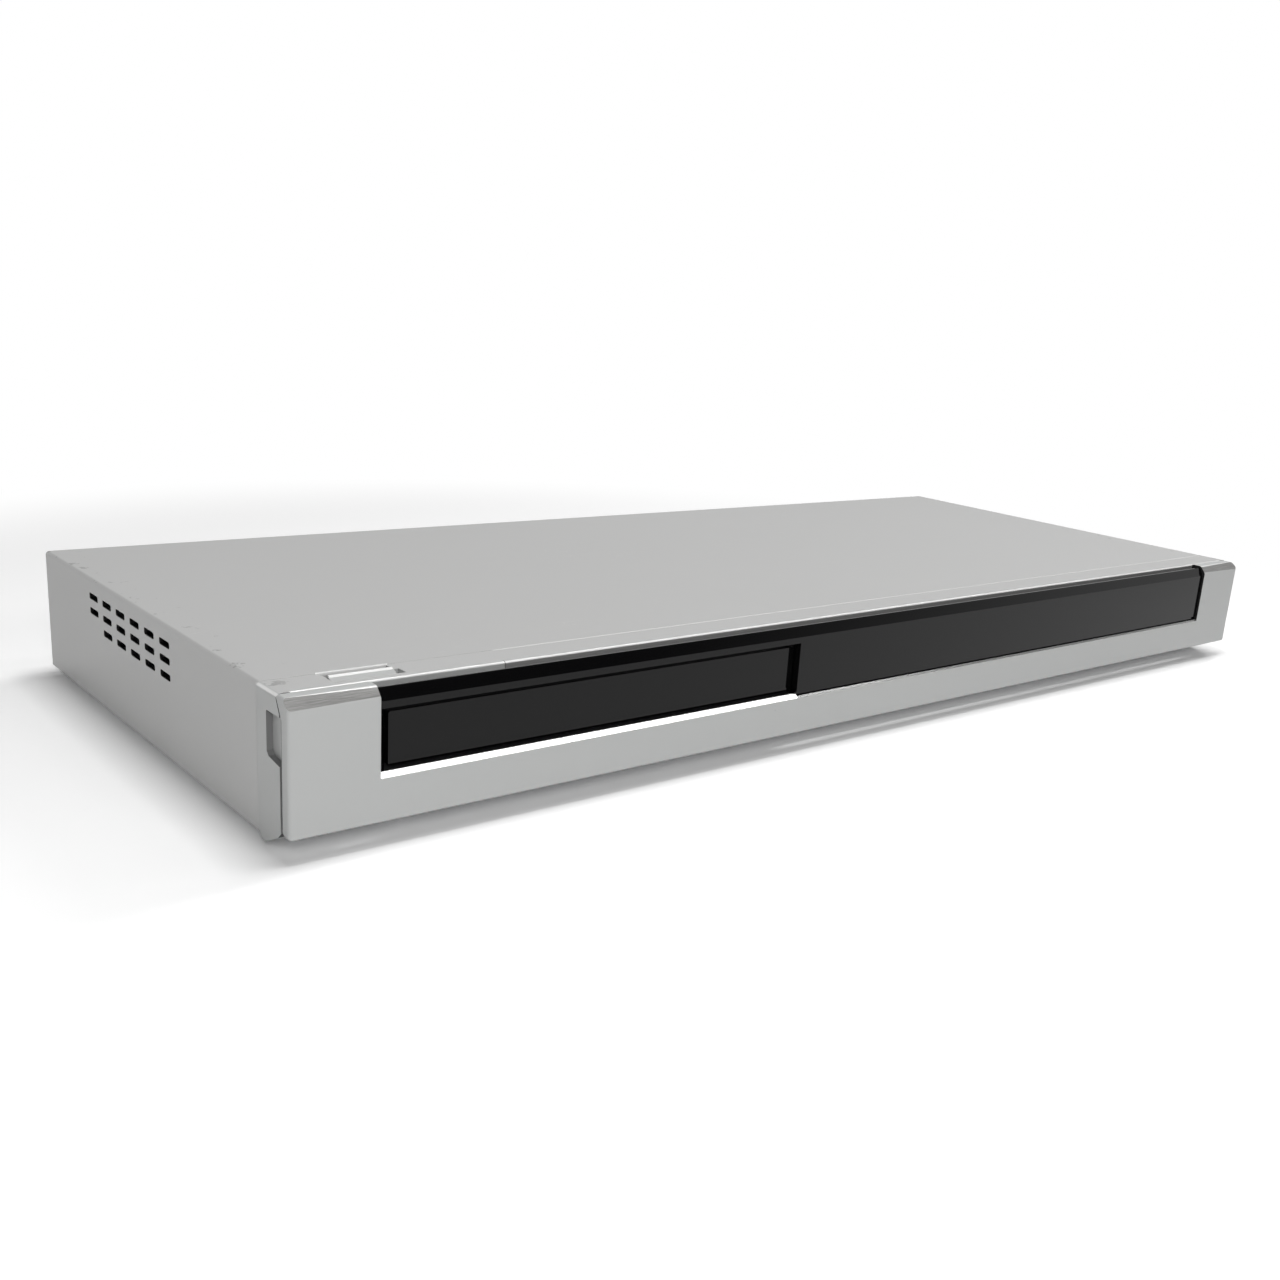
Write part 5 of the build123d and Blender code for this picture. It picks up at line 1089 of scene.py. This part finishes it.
def add_lamp(name, power, place, aim, width, height, in_gloss):
    light = bpy.data.lights.new(name, "AREA")
    light.shape = "RECTANGLE"
    light.size, light.size_y = width, height
    light.energy = power
    lamp = add_object(name, light)
    lamp.location = place
    lamp.rotation_euler = (Vector(aim) - Vector(place)).to_track_quat("-Z", "Y").to_euler()
    lamp.visible_glossy = in_gloss


def add_camera(stage):
    yaw, pitch, roll = stage.camera_turn
    right = Vector((cos(yaw), -sin(yaw), 0))
    ahead = Vector((sin(yaw) * cos(pitch), cos(yaw) * cos(pitch), -sin(pitch)))
    above = right.cross(ahead)
    side = cos(roll) * right + sin(roll) * above
    head = -sin(roll) * right + cos(roll) * above
    lens = bpy.data.cameras.new("camera")
    lens.sensor_width = 36.0
    lens.lens = stage.focal_pixels * lens.sensor_width / IMAGE_PIXELS
    lens.shift_x = (IMAGE_PIXELS / 2 - stage.centre_pixels[0]) / IMAGE_PIXELS
    lens.shift_y = (stage.centre_pixels[1] - IMAGE_PIXELS / 2) / IMAGE_PIXELS
    lens.clip_start = 0.01
    camera = add_object("camera", lens)
    turn = Matrix((side, head, -ahead)).transposed()
    camera.matrix_world = Matrix.Translation(stage.camera_place) @ turn.to_4x4()
    bpy.context.scene.camera = camera


def seen_rays(tree):
    """One for rays from the camera, off gloss or through glass, and the light path's outputs."""
    path = put(tree, "LightPath").outputs
    shown = calc(tree, "MAXIMUM", path["Is Camera Ray"], path["Is Glossy Ray"])
    return calc(tree, "MAXIMUM", shown, path["Is Transmission Ray"]), path


def add_world(stage):
    """White where the camera looks, dim for gloss above the horizon, and faint as a light."""
    world = bpy.data.worlds.new("studio")
    tree = empty_tree(world)
    seen, path = seen_rays(tree)
    height = put(tree, "SeparateXYZ", {0: put(tree, "TexCoord").outputs["Generated"]}).outputs["Z"]
    above = span(tree, height, 0.32, 0.50, 0.8, stage.ceiling)
    gloss = calc(tree, "MULTIPLY", path["Is Glossy Ray"], calc(tree, "SUBTRACT", 1.0, above))
    shown = calc(tree, "SUBTRACT", 1.0, gloss)
    strength = put(tree, "Mix", {0: seen, 2: stage.ambient, 3: shown}, data_type="FLOAT").outputs[0]
    background = put(tree, "Background", {"Color": (1, 1, 1, 1), "Strength": strength})
    output = put(tree, "OutputWorld")
    tree.links.new(background.outputs[0], output.inputs["Surface"])
    bpy.context.scene.world = world


def floor_material(stage):
    """White paper that fades to pure white away from the recorder."""
    material = bpy.data.materials.new("floor_white")
    tree = empty_tree(material)
    seen = seen_rays(tree)[0]
    place = put(tree, "TexCoord").outputs["Object"]
    away = put(tree, "VectorMath", {0: place}, operation="LENGTH").outputs["Value"]
    far = calc(tree, "MULTIPLY", span(tree, away, 0.30, 0.46), seen)
    lit = put(tree, "BsdfDiffuse", {"Color": blend_colour(tree, seen, (0.7, 0.7, 0.7), (0.97, 0.97, 0.97))})
    lift = put(tree, "Emission", {"Color": (1, 1, 1, 1),
                                  "Strength": calc(tree, "MULTIPLY", seen, stage.floor_lift)})
    near = put(tree, "AddShader", {0: lit.outputs[0], 1: lift.outputs[0]})
    white = put(tree, "Emission", {"Color": (1, 1, 1, 1), "Strength": 1.0})
    mixed = put(tree, "MixShader", {0: far, 1: near.outputs[0], 2: white.outputs[0]})
    output = put(tree, "OutputMaterial")
    tree.links.new(mixed.outputs[0], output.inputs["Surface"])
    return material


def add_floor(stage):
    work = bmesh.new()
    bmesh.ops.create_circle(work, cap_ends=True, segments=64, radius=6.0)
    mesh = bpy.data.meshes.new("floor")
    work.to_mesh(mesh)
    work.free()
    mesh.materials.append(floor_material(stage))
    floor = add_object("floor", mesh)


class RECORDER_OT_stage(bpy.types.Operator):
    """Set up the floor, the light and the camera"""
    bl_idname = "recorder.stage"
    bl_label = "Stage"

    def execute(self, context):
        stage = context.scene.recorder_stage
        add_floor(stage)
        add_world(stage)
        for name, setting, *layout in LAMPS:
            add_lamp(name, getattr(stage, setting), *layout)
        add_camera(stage)
        context.scene.view_settings.view_transform = "Standard"
        return {"FINISHED"}


OPERATORS = (RECORDER_OT_materials, RECORDER_OT_case, RECORDER_OT_door, RECORDER_OT_fasteners,
             RECORDER_OT_sockets, RECORDER_OT_controls, RECORDER_OT_boards, RECORDER_OT_stage)


class RECORDER_PT_panel(bpy.types.Panel):
    """Lists the steps that dress the recorder"""
    bl_idname = "RECORDER_PT_panel"
    bl_label = "Recorder"
    bl_space_type = "VIEW_3D"
    bl_region_type = "UI"
    bl_category = "Recorder"

    def draw(self, context):
        for operator in OPERATORS:
            self.layout.operator(operator.bl_idname)
        for setting in GROUP_CLASSES:
            group = getattr(context.scene, setting)
            for name in group.__annotations__:
                self.layout.prop(group, name)


GROUP_CLASSES = {"recorder_sizes": RecorderSizes, "recorder_colours": RecorderColours,
                 "recorder_stage": RecorderStage}


def register():
    for name, group in GROUP_CLASSES.items():
        bpy.utils.register_class(group)
        setattr(bpy.types.Scene, name, PointerProperty(type=group))
    for operator in OPERATORS:
        bpy.utils.register_class(operator)
    bpy.utils.register_class(RECORDER_PT_panel)


def unregister():
    bpy.utils.unregister_class(RECORDER_PT_panel)
    for operator in reversed(OPERATORS):
        bpy.utils.unregister_class(operator)
    for name, group in GROUP_CLASSES.items():
        delattr(bpy.types.Scene, name)
        bpy.utils.unregister_class(group)


def main():
    register()
    bpy.ops.recorder.materials()
    bpy.ops.recorder.case()
    bpy.ops.recorder.door()
    bpy.ops.recorder.fasteners()
    bpy.ops.recorder.sockets()
    bpy.ops.recorder.controls()
    bpy.ops.recorder.boards()
    bpy.ops.recorder.stage()


if __name__ == "__main__":
    main()
